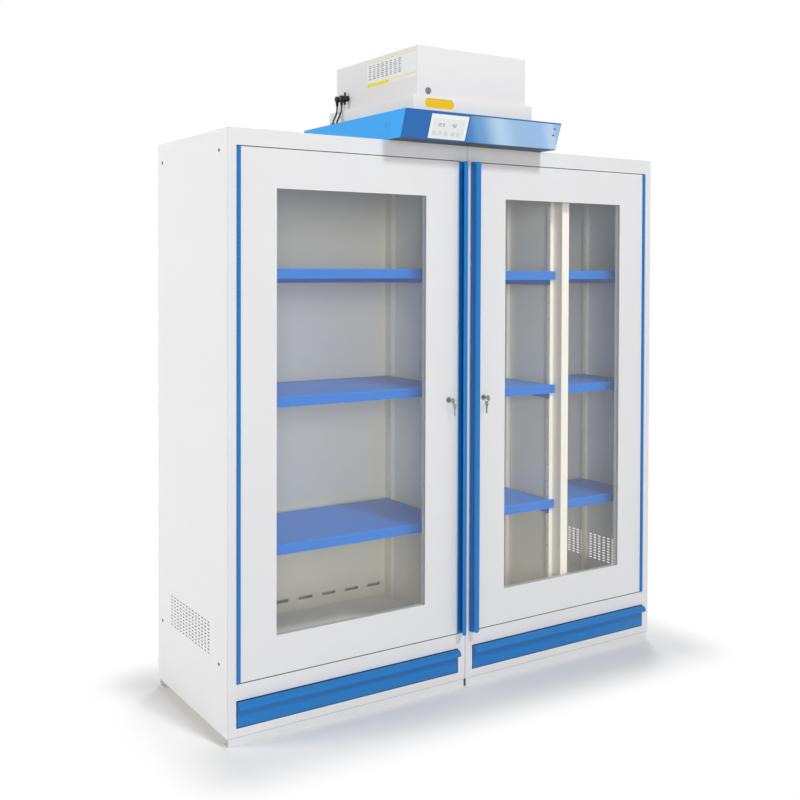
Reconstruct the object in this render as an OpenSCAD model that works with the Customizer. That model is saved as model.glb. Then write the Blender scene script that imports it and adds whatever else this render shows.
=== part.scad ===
// Glazed two-bay cabinet for hazardous materials, with a drawer under each bay
// and a filter unit on the roof. Millimetres, +Z up, the front faces -Y.

/* [Carcass] */
// Width of one bay
bay_w = 950; // [880:10:1100]
// Depth of the carcass
depth = 620; // [600:10:700]
// Height of the carcass above its plinth
body_h = 1965; // [1940:5:2100]
// Thickness of the carcass sheet
sheet = 2; // [1.5:0.25:2.5]
// Width of the front posts
post_w = 32.5; // [30:0.5:38]
// Depth of the returns round the front openings
return_d = 40; // [38:1:44]
// Height of the top rail
top_rail_h = 55.5; // [45:0.5:65]
// Height of the rail between door and drawer
mid_rail_h = 54; // [46:0.5:65]
// Height of the bottom rail
bottom_rail_h = 28.5; // [24:0.5:40]
// Height of the drawer opening
drawer_open_h = 89.5; // [86:0.5:110]
// Depth of the air duct behind the compartments
duct_d = 58; // [45:1:60]
// Height of the air gap over the baffles
duct_gap_h = 90; // [60:5:120]
// Number of air slots low in each baffle
baffle_slots = 9; // [4:1:11]
// Length of an air slot in a baffle
baffle_slot_l = 60; // [40:5:70]
// Height of an air slot in a baffle
baffle_slot_h = 12; // [8:1:20]
// Height of the baffle slots over the compartment floor
baffle_slot_z = 40; // [20:5:80]

/* [Plinth] */
// Height of the plinth rails
plinth_h = 30; // [25:1:45]
// Depth of a plinth rail
plinth_d = 42; // [30:1:60]
// Distance of the plinth rails from the carcass's sides
plinth_inset = 5; // [3:1:15]
// Thickness of the plinth's sheet
plinth_sheet = 2.5; // [2:0.25:3]

/* [Joining holes] */
// Radius of the free joining holes in the outer sides
joint_r = 6; // [5.5:0.25:8]
// Distance of the front joining holes from the front
joint_front_y = 65; // [55:1:70]
// Distance of the rear joining holes from the rear
joint_back = 44; // [42:1:50]
// Height of the low joining holes
joint_low_z = 255; // [235:5:280]
// Distance of the high joining holes from the carcass's top
joint_top = 68; // [62:1:120]
// Radius of a joining bolt
bolt_r = 5; // [4:0.25:5.25]
// Clearance of a joining bolt in its hole
bolt_clear = 0.5; // [0.3:0.05:0.7]
// Height of a joining bolt's head and nut
bolt_head_h = 6; // [4:0.5:8]

/* [Side vents] */
// Rows of slots in a side vent
vent_rows = 10; // [4:1:12]
// Slots in a row of a side vent
vent_cols = 13; // [4:1:14]
// Distance from slot to slot along a row
vent_pitch_y = 27.6; // [22:0.1:30]
// Distance from row to row
vent_pitch_z = 11.4; // [8:0.1:13]
// Length of a vent slot
vent_slot_l = 17; // [10:0.5:19]
// Height of a vent slot
vent_slot_h = 4.5; // [2:0.25:6]
// Distance of the side vent from the front
vent_y = 143; // [115:1:150]
// Height of the side vent
vent_z = 263.5; // [210:0.5:400]

/* [Shelves] */
// Height of the left bay's low shelf
left_low = 610; // [320:5:900]
// Height of the left bay's middle shelf
left_mid = 1110; // [1000:5:1350]
// Height of the left bay's high shelf
left_high = 1545; // [1450:5:1750]
// Height of the low shelf by the seam in the right bay
inner_low = 624; // [320:5:900]
// Height of the middle shelf by the seam in the right bay
inner_mid = 1085; // [1000:5:1350]
// Height of the high shelf by the seam in the right bay
inner_high = 1537; // [1450:5:1750]
// Height of the low outer shelf in the right bay
outer_low = 612; // [320:5:900]
// Height of the middle outer shelf in the right bay
outer_mid = 1079; // [1000:5:1350]
// Height of the high outer shelf in the right bay
outer_high = 1540; // [1450:5:1750]
// Distance of the shelf fronts from the carcass's front
shelf_front_y = 78; // [76:1:82]
// Height of a shelf's front lip
shelf_lip_h = 34; // [25:1:45]
// Height of a shelf's end and rear flanges
shelf_side_h = 55; // [40:1:60]
// Thickness of the shelf sheet
shelf_t = 1.5; // [1:0.25:2]
// Gap between a shelf's folded nose and the front uprights
shelf_nose_gap = 3; // [2:0.5:4]
// How far a shelf reaches behind its rear uprights
shelf_tail = 6; // [3:1:15]
// Gap between a shelf and what stands beside it
shelf_gap = 1.5; // [1.3:0.1:2.5]
// Width and depth of a shelf upright
upright_w = 18; // [15:0.5:22]
// Wall of a shelf upright
upright_t = 1.5; // [1:0.25:2]
// Distance of the front uprights from the front
upright_front_y = 90; // [86:1:94]
// Distance of the left bay's rear uprights from the front
left_rear_y = 485; // [420:5:500]
// Distance of the right bay's rear uprights from the front
right_rear_y = 365; // [340:5:500]
// Gap between the uprights and the roof
upright_head = 90; // [60:5:150]
// Thickness of a shelf clip
clip_t = 1.2; // [1:0.1:1.3]
// Height of a shelf clip
clip_h = 24; // [16:1:28]
// How far a shelf clip reaches under the shelf
clip_tongue = 8; // [5:0.5:12]
// Distance of the partition's middle from the right bay's outer side
partition_u = 434; // [400:1:520]
// Width of the partition
partition_w = 36; // [25:1:45]

/* [Doors] */
// Thickness of a door
door_t = 30; // [26:0.5:34]
// Thickness of the door's sheet
door_sheet = 1.5; // [1:0.25:2]
// Gap over and under a door and round a drawer front
door_gap = 2.5; // [2:0.25:4]
// Gap between a door's free edge and the post
lock_gap = 4; // [3.5:0.25:6]
// Width of the door stile at the hinge
hinge_stile = 128.5; // [90:0.5:160]
// Width of the door stile at the lock
lock_stile = 145; // [110:0.5:180]
// Height of the door rail under the window
low_rail = 131; // [90:1:180]
// Height of the door rail over the window
high_rail = 130; // [90:1:180]
// Thickness of the pane
glass_t = 5; // [4:0.5:6]
// How far the pane reaches behind the window's edge
glass_lap = 10; // [7:0.5:12]
// Wall of the pane's gasket
gasket_t = 2; // [1.5:0.25:3]
// How far a gasket lip lies over the pane
gasket_lap = 7; // [4:0.5:9]

/* [Hinges] */
// Radius of the hinge knuckles
knuckle_r = 7; // [6:0.25:8]
// Wanted length of one knuckle
knuckle_l = 35; // [25:1:60]
// Gap between two knuckles
knuckle_gap = 0.4; // [0.3:0.05:0.8]
// Gap between a knuckle and the frame or door beside it
knuckle_side = 0.5; // [0.4:0.1:1]
// Radius of the hinge pin
pin_r = 3; // [2.5:0.1:4]
// Radial clearance of a turning fit
fit = 0.05; // [0.03:0.01:0.08]
// Depth of a hinge leaf
leaf_d = 24; // [15:1:26]
// Thickness of a hinge leaf
leaf_t = 2; // [1.5:0.25:2.5]

/* [Grips] */
// How far a door grip stands out
grip_out = 35; // [30:1:45]
// Width of a door grip's lip
grip_lip = 22.5; // [18:0.5:26]
// Thickness of the grip profile
grip_t = 2; // [1.5:0.25:2.5]
// Radius of a door grip's rounded edge
grip_r = 10; // [6:0.5:12]
// Distance of a door grip from the seam between the bays
grip_seam = 16; // [13:0.5:18]
// Gap between a door grip and the front
grip_front = 3; // [2:0.5:5]
// Depth of the flange that holds a grip on the door's edge
grip_flange = 22; // [15:0.5:25]
// Radius of the corners at a door grip's ends
grip_end_r = 9; // [5:0.5:10]
// How far a drawer grip stands out
pull_out = 24; // [20:0.5:30]
// Drop of a drawer grip's lip
pull_drop = 20; // [18:0.5:26]
// Radius of a drawer grip's rounded edge
pull_r = 15; // [8:0.5:17]

/* [Locks and keys] */
// Distance of a door lock from the seam between the bays
lock_seam = 80; // [72:1:95]
// Height of the door locks
lock_z = 1068; // [900:1:1300]
// Radius of a lock barrel
barrel_r = 8; // [7.5:0.25:10]
// Radius of a lock barrel's rim
barrel_rim_r = 10.5; // [10.25:0.25:13]
// Height of a lock barrel's rim
barrel_rim_h = 2.5; // [1.5:0.25:4]
// Radius of a lock's core
core_r = 6; // [5:0.25:6.5]
// Radius of the core's tail in the cam
core_tail_r = 4; // [3:0.25:4.5]
// Clearance of the cam behind the frame
cam_clear = 1; // [0.6:0.1:2]
// Thickness of a cam
cam_t = 3; // [2:0.25:4]
// Length of a cam
cam_l = 62; // [58:1:66]
// Width of a cam
cam_w = 16; // [12:0.5:18]
// Thickness of a key
key_t = 1.5; // [1.2:0.1:1.6]
// Radius of a key's bow
bow_r = 10; // [9.5:0.25:10.5]
// Radius of a spare key's bow
spare_bow_r = 9; // [8:0.25:9]
// Radius of the hole in a key's bow
bow_hole_r = 3.5; // [3.4:0.1:4]
// Distance of a key's bow from the front
bow_out = 28; // [26:0.5:34]
// Width of a key's blade
blade_w = 8; // [6:0.5:9]
// Length of a spare key's blade
blade_l = 28; // [20:1:34]
// Radius of a key ring
ring_r = 10; // [9.5:0.25:11]
// Radius of a key ring's wire
wire_r = 0.8; // [0.6:0.05:0.9]
// Gap between a key ring and the bow it hangs in
ring_gap = 0.9; // [0.8:0.05:0.95]

/* [Drawers] */
// Thickness of a drawer front
front_t = 16; // [12:0.5:20]
// Length of a drawer tray
tray_l = 520; // [440:5:525]
// Thickness of the tray's sheet
tray_sheet = 1.5; // [1:0.25:2]
// Gap under a drawer tray
tray_low = 4; // [3:0.5:6]
// Gap over a drawer tray
tray_high = 12; // [8:0.5:20]
// Width of a drawer runner
runner_w = 10; // [8:0.5:14]
// Height of a drawer runner
runner_h = 30; // [20:1:34]
// Distance of a runner's front end behind the drawer front
runner_back = 14; // [5:1:30]
// Height of the guides over the drawer opening's edge
guide_z = 22; // [15:1:30]
// Thickness of a guide's sheet
guide_t = 1.5; // [1:0.25:2]
// Length of a drawer guide
guide_l = 510; // [420:5:512]
// Distance of a guide's feet from its ends
foot_end = 20; // [10:1:60]
// Clearance of a runner in its guide
runner_fit = 0.3; // [0.2:0.05:0.5]
// Clearance between a runner and the drawer opening
runner_side = 1.5; // [1:0.25:2.5]

/* [Filter unit] */
// Width of the hood
hood_w = 700; // [660:5:800]
// Height of the hood
hood_h = 97; // [90:1:120]
// How far the hood's lower front edge stands out
hood_low_out = 85; // [60:1:95]
// How far the hood's upper front edge stands out
hood_top_out = 120; // [112:1:135]
// Distance of the hood's rear from the carcass's rear
hood_back = 5; // [4:0.5:15]
// Distance of an air hole from the seam between the bays
air_x = 150; // [110:1:180]
// Distance of the air holes from the front
air_y = 300; // [240:5:330]
// Radius of the air holes
air_r = 70; // [50:1:80]
// Thickness of the display and the fascia plate
plate_t = 1.5; // [1:0.25:2]
// Height of the fascia plate along the sloped front
fascia_h = 95; // [70:0.5:95]
// Height of the fascia plate's lower edge along the sloped front
fascia_low = 3; // [2:0.5:8]
// Distance of the fascia plate's left edge from the seam
fascia_x = 73; // [70:0.5:76]
// Distance of the fascia plate's right edge from the hood's right side
fascia_end = 3; // [2:0.5:20]
// Gap between the display and the fascia plate
display_gap = 5; // [3:0.5:10]
// Width of the display
display_w = 160; // [120:1:162]
// Height of the display along the sloped front
display_h = 87; // [60:0.5:90]
// Height of the display's lower edge along the sloped front
display_low = 6; // [4:0.5:8]
// Radius of the blanked cable entry in the hood's side
entry_r = 14; // [10:0.5:18]
// Depth of the groove round the blanked entry
entry_depth = 0.8; // [0.4:0.1:1]
// Width of the groove round the blanked entry
entry_groove = 1.6; // [1:0.1:3]
// Distance of the blanked entry behind the carcass's front
entry_y = -5; // [-30:1:40]
// Width of the filter box
filter_w = 537; // [530:1:560]
// Depth of the filter box
filter_d = 598; // [595:1:610]
// Height of the filter box
filter_h = 66; // [60:1:80]
// How far the filter box stands out over the front
filter_out = 44; // [41:0.5:60]
// Clearance round the filter cassette
cassette_gap = 4; // [2:0.5:8]
// Width of the fan box
fan_w = 488; // [470:1:500]
// Depth of the fan box
fan_d = 571; // [560:1:578]
// Height of the fan box
fan_h = 174; // [165:1:190]
// How far the fan box stands out over the front
fan_out = 33.5; // [30:0.5:38]
// Width of the rim round the air ways through the boxes
air_rim = 40; // [25:1:60]
// Width of the oblong window in the filter box
oblong_w = 126; // [90:1:140]
// Height of the oblong window
oblong_h = 33; // [24:0.5:40]
// Distance of the oblong window's middle from the seam
oblong_x = 156; // [140:1:170]
// Height of the oblong window's middle over the hood
oblong_z = 38.5; // [30:0.5:40]
// Rim of the type plate behind the oblong window
type_rim = 4; // [3:0.5:6]
// Distance of the box lock from the seam
box_lock_x = 199; // [150:1:215]
// Height of the box lock over the fan box's lower edge
box_lock_z = 17; // [15:0.5:30]
// Radius of the box lock's head
box_lock_r = 12; // [10:0.5:13]
// Radius of the box lock's core
box_core_r = 8; // [6:0.25:9]
// Height of the box lock's head
box_lock_h = 4; // [3:0.5:6]
// Width of the exhaust opening
exhaust_w = 300; // [260:5:360]
// Rim of the exhaust grille behind its opening
exhaust_rim = 12; // [8:1:20]
// Number of bars' gaps in the exhaust grille
exhaust_slots = 15; // [6:1:18]
// Width of a gap in the exhaust grille
exhaust_slot = 10; // [5:0.5:12]

// Distance of the exhaust grille's gaps from the opening's edge
exhaust_end = 10; // [5:1:20]
// Length of the box lock's core behind the sheet
box_core_l = 14; // [8:1:20]
// Length of the slot in the box lock's head
box_slot_l = 12; // [8:0.5:14]
// Width of the slot in the box lock's head
box_slot_w = 2; // [1.5:0.25:3]
// Depth of the slot in the box lock's head
box_slot_d = 1.5; // [1:0.25:2]

/* [Fan] */
// Radius of the impeller
impeller_r = 120; // [90:1:135]
// Height of the impeller
impeller_h = 55; // [40:1:60]
// Height of the impeller over the motor
impeller_rise = 8; // [4:1:12]
// Distance of the blades' outer ends from the impeller's rim
blade_end = 6; // [3:0.5:12]
// How far the blades reach into the air inlet
blade_in = 5; // [2:0.5:10]
// Number of impeller blades
blades = 9; // [5:1:13]
// Angle of an impeller blade to the radius
blade_angle = 35; // [15:1:45]
// Thickness of an impeller blade
blade_t = 2; // [1.5:0.25:3]
// Thickness of an impeller disc
disc_t = 3; // [2:0.25:4]
// Radius of the impeller's air inlet
inlet_r = 70; // [60:1:80]
// Radius of the impeller's hub
hub_r = 14; // [11:0.5:20]
// Radius of the fan motor
motor_r = 48; // [40:1:55]
// Height of the fan motor
motor_h = 60; // [45:1:65]
// Radius of the motor's shaft
shaft_r = 6; // [4:0.25:8]
// Width of the motor's bracket
bracket_w = 110; // [105:1:130]
// Thickness of the motor's bracket
bracket_t = 4; // [3:0.5:5]
// Height of the motor's bracket over the filter box
bracket_z = 8; // [6:0.5:12]

/* [Leads] */
// Radius of a link lead
lead_r = 3.2; // [2.5:0.1:3.6]
// Radius of a lead's plug
plug_r = 11; // [8:0.5:12]
// Height of the lead plugs over the filter box
plug_rise = 48; // [45:1:60]
// Distance of the rear plug from the fan box's rear
plug_back = 53; // [20:1:60]
// Distance from plug to plug
plug_step = 35; // [26:1:50]
// Length of a lead's plug
plug_l = 36; // [32:1:40]
// Length of a plug's cable sleeve below the plug
sleeve_l = 18; // [8:1:20]
// Radius of a plug's cable sleeve
sleeve_r = 7; // [5:0.25:8]
// Distance of the front plug's latch from the fan box
latch_x = 14; // [10:1:18]
// Length of the latch, above and below the plug together
latch_l = 48; // [36:1:60]
// Width of the latch along the plug
latch_w = 6; // [4:0.5:8]
// Thickness of the latch
latch_t = 8; // [5:0.5:10]
// Radius of a gland
gland_r = 9; // [7:0.5:10]
// Height of a gland
gland_h = 12; // [8:0.5:14]
// Distance of the outer gland from the hood's side
gland_side = 34; // [15:1:38]
// Distance of the outer gland from the hood's rear
gland_back = 175; // [120:1:200]
// Distance between the glands across the hood
gland_step = 24; // [20:1:32]
// Distance between the glands along the hood's side
gland_stagger = 14; // [0:1:30]
// Width of the mains inlet
inlet_w = 27; // [24:0.5:32]
// Height of the mains inlet
inlet_h = 20; // [17:0.5:24]
// Depth of the mains inlet
inlet_d = 24; // [18:0.5:30]
// Flange of the mains inlet
inlet_rim = 6; // [4:0.5:8]
// Distance of the mains inlet from the seam
inlet_x = 250; // [200:1:300]

/* [Hidden] */
$fn = 48;

// Colours of the finishes
white = "#ececee";
grey = "#d4d6d9";
blue = "#2f78bf";
bright_blue = "#3f9cf0";
steel = "#b8bcc2";
black = "#1c1d20";

// A cut runs this far past the face it opens
cut = 1;
// The front plane lies here, so that the origin is under the middle of the whole
front_y = (hood_top_out - depth) / 2;

// Heights in the carcass
body_z0 = plinth_h;
body_z1 = plinth_h + body_h;
drawer_z0 = body_z0 + bottom_rail_h;
drawer_z1 = drawer_z0 + drawer_open_h;
door_z0 = drawer_z1 + mid_rail_h;
door_z1 = body_z1 - top_rail_h;
duct_y = depth - sheet - duct_d;
joint_rear_y = depth - joint_back;
joint_high_z = body_z1 - joint_top;

// Door leaf, measured from the bay's outer side
hinge_u = post_w + knuckle_side + knuckle_r;
door_u0 = hinge_u + knuckle_r + knuckle_side;
door_u1 = bay_w - post_w - lock_gap;
door_lo = door_z0 + door_gap;
door_hi = door_z1 - door_gap;
win_u0 = door_u0 + hinge_stile;
win_u1 = door_u1 - lock_stile;
win_z0 = door_lo + low_rail;
win_z1 = door_hi - high_rail;
rebate = glass_lap + gasket_t + 1;
gasket_y1 = door_sheet + 2 * gasket_t + glass_t;
liner_edge = 1.5 * gasket_t;

// Shelves
left_levels = [left_low, left_mid, left_high];
right_inner_levels = [inner_low, inner_mid, inner_high];
right_outer_levels = [outer_low, outer_mid, outer_high];

// Hinge
hinge_h = door_hi - door_lo;
knuckles = 2 * floor(hinge_h / knuckle_l / 2) + 1;
knuckle_step = hinge_h / knuckles;
leaf_y0 = knuckle_r + 1;

// Lock
lock_u = bay_w - lock_seam;
cam_y0 = return_d + cam_clear;
cam_y1 = cam_y0 + cam_t;
barrel_y1 = cam_y0 - cam_clear / 2;
ring_y = -bow_out - (bow_hole_r - wire_r - ring_gap);
ring_u = lock_u + ring_r / sqrt(2);
ring_z = lock_z - ring_r / sqrt(2);
spare_z = ring_z - ring_r - (bow_hole_r - wire_r - 0.1);

// Drawer
drawer_u0 = post_w + door_gap;
drawer_u1 = bay_w - post_w - door_gap;
drawer_lo = drawer_z0 + door_gap;
drawer_hi = drawer_z1 - door_gap;
runner_u0 = post_w + runner_side;
runner_u1 = runner_u0 + runner_w;
runner_z0 = drawer_z0 + guide_z;
runner_z1 = runner_z0 + runner_h;
guide_u0 = runner_u0 - runner_fit - guide_t;
guide_y0 = return_d + 2;

// Filter unit
hood_z0 = body_z1;
hood_z1 = hood_z0 + hood_h;
hood_y1 = depth - hood_back;
hood_slope = atan((hood_top_out - hood_low_out) / hood_h);
filter_z1 = hood_z1 + filter_h;
filter_y1 = filter_d - filter_out;
fan_z1 = filter_z1 + fan_h;
fan_y1 = fan_d - fan_out;
fan_mid_y = fan_d / 2 - fan_out;
bracket_z0 = filter_z1 + bracket_z;
motor_z0 = bracket_z0 + bracket_t;
motor_z1 = motor_z0 + motor_h;
impeller_z0 = motor_z1 + impeller_rise;

// Link leads: from the plugs' sleeves down to the glands on the hood
plug_y = [fan_y1 - plug_back - plug_step, fan_y1 - plug_back];
plug_z = filter_z1 + plug_rise;
sleeve_x = -fan_w / 2 - plug_l + sleeve_r;
sleeve_z = plug_z - plug_r - sleeve_l;
gland_x = [-hood_w / 2 + gland_side + gland_step, -hood_w / 2 + gland_side];
gland_y = [hood_y1 - gland_back + gland_stagger, hood_y1 - gland_back];
gland_z = hood_z1 + gland_h;
// Share of the way outwards, and of the way down, at each point of a lead
lead_way = [[0, 0], [0.03, 0.18], [0.14, 0.35], [0.36, 0.53], [0.66, 0.7], [0.91, 0.85], [1, 1]];
lead_sides = 8;

// Placing: a bay is drawn from its outer side, with y = 0 on the carcass's front
module middle() translate([0, front_y, 0]) children();
module left_bay() translate([-bay_w, front_y, 0]) children();
module right_bay() mirror([1, 0, 0]) left_bay() children();
module both_bays() {
    left_bay() children();
    right_bay() children();
}

// A box between two corners
module block(x0, x1, y0, y1, z0, z1) translate([x0, y0, z0]) cube([x1 - x0, y1 - y0, z1 - z0]);

// A rod along y, from y0 to y1
module rod_y(r, x, y0, y1, z) translate([x, y1, z]) rotate([90, 0, 0]) cylinder(r = r, h = y1 - y0);

// A rod along x, from x0 to x1
module rod_x(r, x0, x1, y, z) translate([x0, y, z]) rotate([0, 90, 0]) cylinder(r = r, h = x1 - x0);

// An outline in y and z, drawn out along x
module along_x(x0, x1) translate([x0, 0, 0]) rotate([90, 0, 90]) linear_extrude(x1 - x0) children();

// Carcass

module joint_holes(x0, x1, r) {
    for (y = [joint_front_y, joint_rear_y])
        for (z = [joint_low_z, joint_high_z])
            rod_x(r, x0, x1, y, z);
}

module vent_slots() {
    for (row = [0 : vent_rows - 1])
        for (col = [0 : vent_cols - 1])
            translate([-cut, vent_y + col * vent_pitch_y, vent_z + row * vent_pitch_z])
                cube([sheet + 2 * cut, vent_slot_l, vent_slot_h]);
}

module side_sheet(u, hole_r) {
    difference() {
        block(u, u + sheet, 0, depth, body_z0, body_z1);
        joint_holes(u - cut, u + sheet + cut, hole_r);
    }
}

module outer_side() {
    difference() {
        side_sheet(0, joint_r);
        vent_slots();
    }
}

module left_outer_side() color(white) left_bay() outer_side();
module right_outer_side() color(white) right_bay() outer_side();
module inner_sides() color(white) both_bays() side_sheet(bay_w - sheet, bolt_r + bolt_clear);

// The sheet return that lines a front opening
module opening_return(z0, z1) {
    difference() {
        block(post_w - sheet, bay_w - post_w + sheet, 0, return_d, z0 - sheet, z1 + sheet);
        block(post_w, bay_w - post_w, -cut, return_d + cut, z0, z1);
    }
}

module front_frame() {
    difference() {
        block(sheet, bay_w - sheet, 0, sheet, body_z0, body_z1);
        block(post_w, bay_w - post_w, -cut, sheet + cut, door_z0, door_z1);
        block(post_w, bay_w - post_w, -cut, sheet + cut, drawer_z0, drawer_z1);
    }
    opening_return(door_z0, door_z1);
    opening_return(drawer_z0, drawer_z1);
}

module left_front_frame() color(white) left_bay() front_frame();
module right_front_frame() color(white) right_bay() front_frame();

module back_panels() {
    color(white) both_bays()
        block(sheet, bay_w - sheet, depth - sheet, depth, body_z0 + sheet, body_z1 - sheet);
}

module roof_panels() {
    color(white) both_bays() difference() {
        block(sheet, bay_w - sheet, sheet, depth, body_z1 - sheet, body_z1);
        translate([bay_w - air_x, air_y, body_z1 - sheet - cut]) cylinder(r = air_r, h = sheet + 2 * cut);
    }
}

module compartment_floors() {
    color(white) both_bays()
        block(sheet, bay_w - sheet, return_d, depth - sheet, door_z0 - sheet, door_z0);
}

module base_pans() {
    color(white) both_bays() block(sheet, bay_w - sheet, sheet, depth, body_z0, body_z0 + sheet);
}

module air_baffles() {
    slot_step = (bay_w - 2 * sheet) / baffle_slots;
    slot_z0 = door_z0 + baffle_slot_z;
    color(grey) both_bays() difference() {
        block(sheet, bay_w - sheet, duct_y, duct_y + sheet, door_z0, body_z1 - sheet - duct_gap_h);
        for (i = [0 : baffle_slots - 1])
            translate([sheet + (i + 0.5) * slot_step - baffle_slot_l / 2, duct_y - cut, slot_z0])
                cube([baffle_slot_l, sheet + 2 * cut, baffle_slot_h]);
    }
}

// A channel rail whose web is on its y = 0 face
module plinth_rail() {
    difference() {
        block(plinth_inset, bay_w - plinth_inset, 0, plinth_d, 0, plinth_h);
        block(plinth_inset - cut, bay_w - plinth_inset + cut, plinth_sheet, plinth_d + cut,
            plinth_sheet, plinth_h - plinth_sheet);
    }
}

module plinth_rails() {
    color(white) both_bays() {
        translate([0, sheet, 0]) plinth_rail();
        translate([0, depth - sheet, 0]) mirror([0, 1, 0]) plinth_rail();
    }
}

module partition() {
    u0 = partition_u - partition_w / 2;
    u1 = partition_u + partition_w / 2;
    z1 = body_z1 - sheet;
    color(white) right_bay() difference() {
        block(u0, u1, return_d, duct_y, door_z0, z1);
        block(u0 + sheet, u1 - sheet, return_d + sheet, duct_y + cut, door_z0 - cut, z1 + cut);
    }
}

module joining_bolts() {
    color(steel) middle() for (y = [joint_front_y, joint_rear_y])
        for (z = [joint_low_z, joint_high_z]) {
            rod_x(1.8 * bolt_r, -sheet - bolt_head_h, -sheet, y, z, $fn = 6);
            rod_x(bolt_r, -sheet, sheet + 1.5 * bolt_head_h, y, z);
            difference() {
                rod_x(1.8 * bolt_r, sheet, sheet + bolt_head_h, y, z, $fn = 6);
                rod_x(bolt_r + fit, sheet - cut, sheet + bolt_head_h + cut, y, z);
            }
        }
}

// Shelves

// A channel upright on a wall at u, its open side to the wall; side is 1 or -1
module upright(u, side, y) {
    z1 = body_z1 - sheet - upright_head;
    translate([u, y, 0]) mirror([side < 0 ? 1 : 0, 0, 0]) difference() {
        block(0, upright_w, 0, upright_w, door_z0, z1);
        block(-cut, upright_w - upright_t, upright_t, upright_w - upright_t, door_z0 - cut, z1 + cut);
    }
}

module upright_pair(u, side, rear_y) {
    upright(u, side, upright_front_y);
    upright(u, side, rear_y);
}

module shelf_uprights() {
    color(white) {
        left_bay() {
            upright_pair(sheet, 1, left_rear_y);
            upright_pair(bay_w - sheet, -1, left_rear_y);
        }
        right_bay() {
            upright_pair(sheet, 1, right_rear_y);
            upright_pair(partition_u - partition_w / 2, -1, right_rear_y);
            upright_pair(partition_u + partition_w / 2, 1, right_rear_y);
            upright_pair(bay_w - sheet, -1, right_rear_y);
        }
    }
}

// A shelf between the walls at u0 and u1, with its top at z
module shelf(u0, u1, rear_y, z) {
    y0 = shelf_front_y;
    y1 = rear_y + upright_w + shelf_tail;
    d0 = u0 + upright_w + shelf_gap;
    d1 = u1 - upright_w - shelf_gap;
    z0 = z - shelf_lip_h;
    z1 = z - shelf_side_h;
    nose_y1 = upright_front_y - shelf_nose_gap;
    block(d0, d1, y0, y1, z - shelf_t, z);
    block(u0 + shelf_gap, u1 - shelf_gap, y0, y0 + shelf_t, z0, z);
    // the lip folds back below and up to the deck
    block(u0 + shelf_gap, u1 - shelf_gap, y0, nose_y1, z0, z0 + shelf_t);
    block(u0 + shelf_gap, u1 - shelf_gap, nose_y1 - shelf_t, nose_y1, z0, z);
    block(d0, d1, y1 - shelf_t, y1, z1, z);
    block(d0, d0 + shelf_t, y0 + shelf_t, y1, z1, z);
    block(d1 - shelf_t, d1, y0 + shelf_t, y1, z1, z);
}

module left_shelves() {
    color(bright_blue) left_bay() for (z = left_levels)
        shelf(sheet, bay_w - sheet, left_rear_y, z);
}

module right_inner_shelves() {
    color(bright_blue) right_bay() for (z = right_inner_levels)
        shelf(partition_u + partition_w / 2, bay_w - sheet, right_rear_y, z);
}

module right_outer_shelves() {
    color(bright_blue) right_bay() for (z = right_outer_levels)
        shelf(sheet, partition_u - partition_w / 2, right_rear_y, z);
}

// An angle on the face of an upright at u, under the shelf end whose top is at z
module clip(u, side, y, z) {
    z0 = z - shelf_side_h;
    translate([u, y, z0]) mirror([side < 0 ? 1 : 0, 0, 0]) {
        block(0, clip_t, 0, upright_w, -clip_t, clip_h);
        block(0, clip_tongue, 0, upright_w, -clip_t, 0);
    }
}

module clip_set(u0, u1, rear_y, levels) {
    for (z = levels)
        for (y = [upright_front_y, rear_y]) {
            clip(u0 + upright_w, 1, y, z);
            clip(u1 - upright_w, -1, y, z);
        }
}

module shelf_clips() {
    color(steel) {
        left_bay() clip_set(sheet, bay_w - sheet, left_rear_y, left_levels);
        right_bay() {
            clip_set(partition_u + partition_w / 2, bay_w - sheet, right_rear_y, right_inner_levels);
            clip_set(sheet, partition_u - partition_w / 2, right_rear_y, right_outer_levels);
        }
    }
}

// Hinges

// One leaf: its plate, and every second knuckle from first on; side is -1 on the frame, 1 on the door
module hinge_leaf(first, side) {
    plate_u = hinge_u + side * (knuckle_r + knuckle_side);
    u0 = side < 0 ? plate_u : plate_u - leaf_t;
    difference() {
        union() {
            block(u0, u0 + leaf_t, leaf_y0, leaf_y0 + leaf_d, door_lo, door_hi);
            for (i = [first : 2 : knuckles - 1]) {
                z0 = door_lo + i * knuckle_step + knuckle_gap / 2;
                h = knuckle_step - knuckle_gap;
                translate([hinge_u, 0, z0]) cylinder(r = knuckle_r, h = h);
                block(u0, u0 + leaf_t, 0, leaf_y0 + 1, z0, z0 + h);
            }
        }
        translate([hinge_u, 0, door_lo - cut]) cylinder(r = pin_r + fit, h = hinge_h + 2 * cut);
    }
}

module frame_hinge_leaves() color(blue) both_bays() hinge_leaf(0, -1);
module left_door_leaf() color(blue) left_bay() hinge_leaf(1, 1);
module right_door_leaf() color(blue) right_bay() hinge_leaf(1, 1);
module hinge_pins() {
    color(steel) both_bays() translate([hinge_u, 0, door_lo]) cylinder(r = pin_r, h = hinge_h);
}

// Doors

// A block round the window, m wider than the window on every side
module window_block(m, y0, y1) block(win_u0 - m, win_u1 + m, y0, y1, win_z0 - m, win_z1 + m);

module door_pan() {
    s = door_sheet;
    y1 = door_t - s;
    difference() {
        block(door_u0, door_u1, 0, y1, door_lo, door_hi);
        difference() {
            block(door_u0 + s, door_u1 - s, s, y1 + cut, door_lo + s, door_hi - s);
            window_block(rebate + s, 0, y1 + 2 * cut);
        }
        window_block(rebate, s, y1 + cut);
        window_block(0, -cut, s + cut);
        rod_y(barrel_r + fit, lock_u, -cut, s + cut, lock_z);
    }
}

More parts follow.
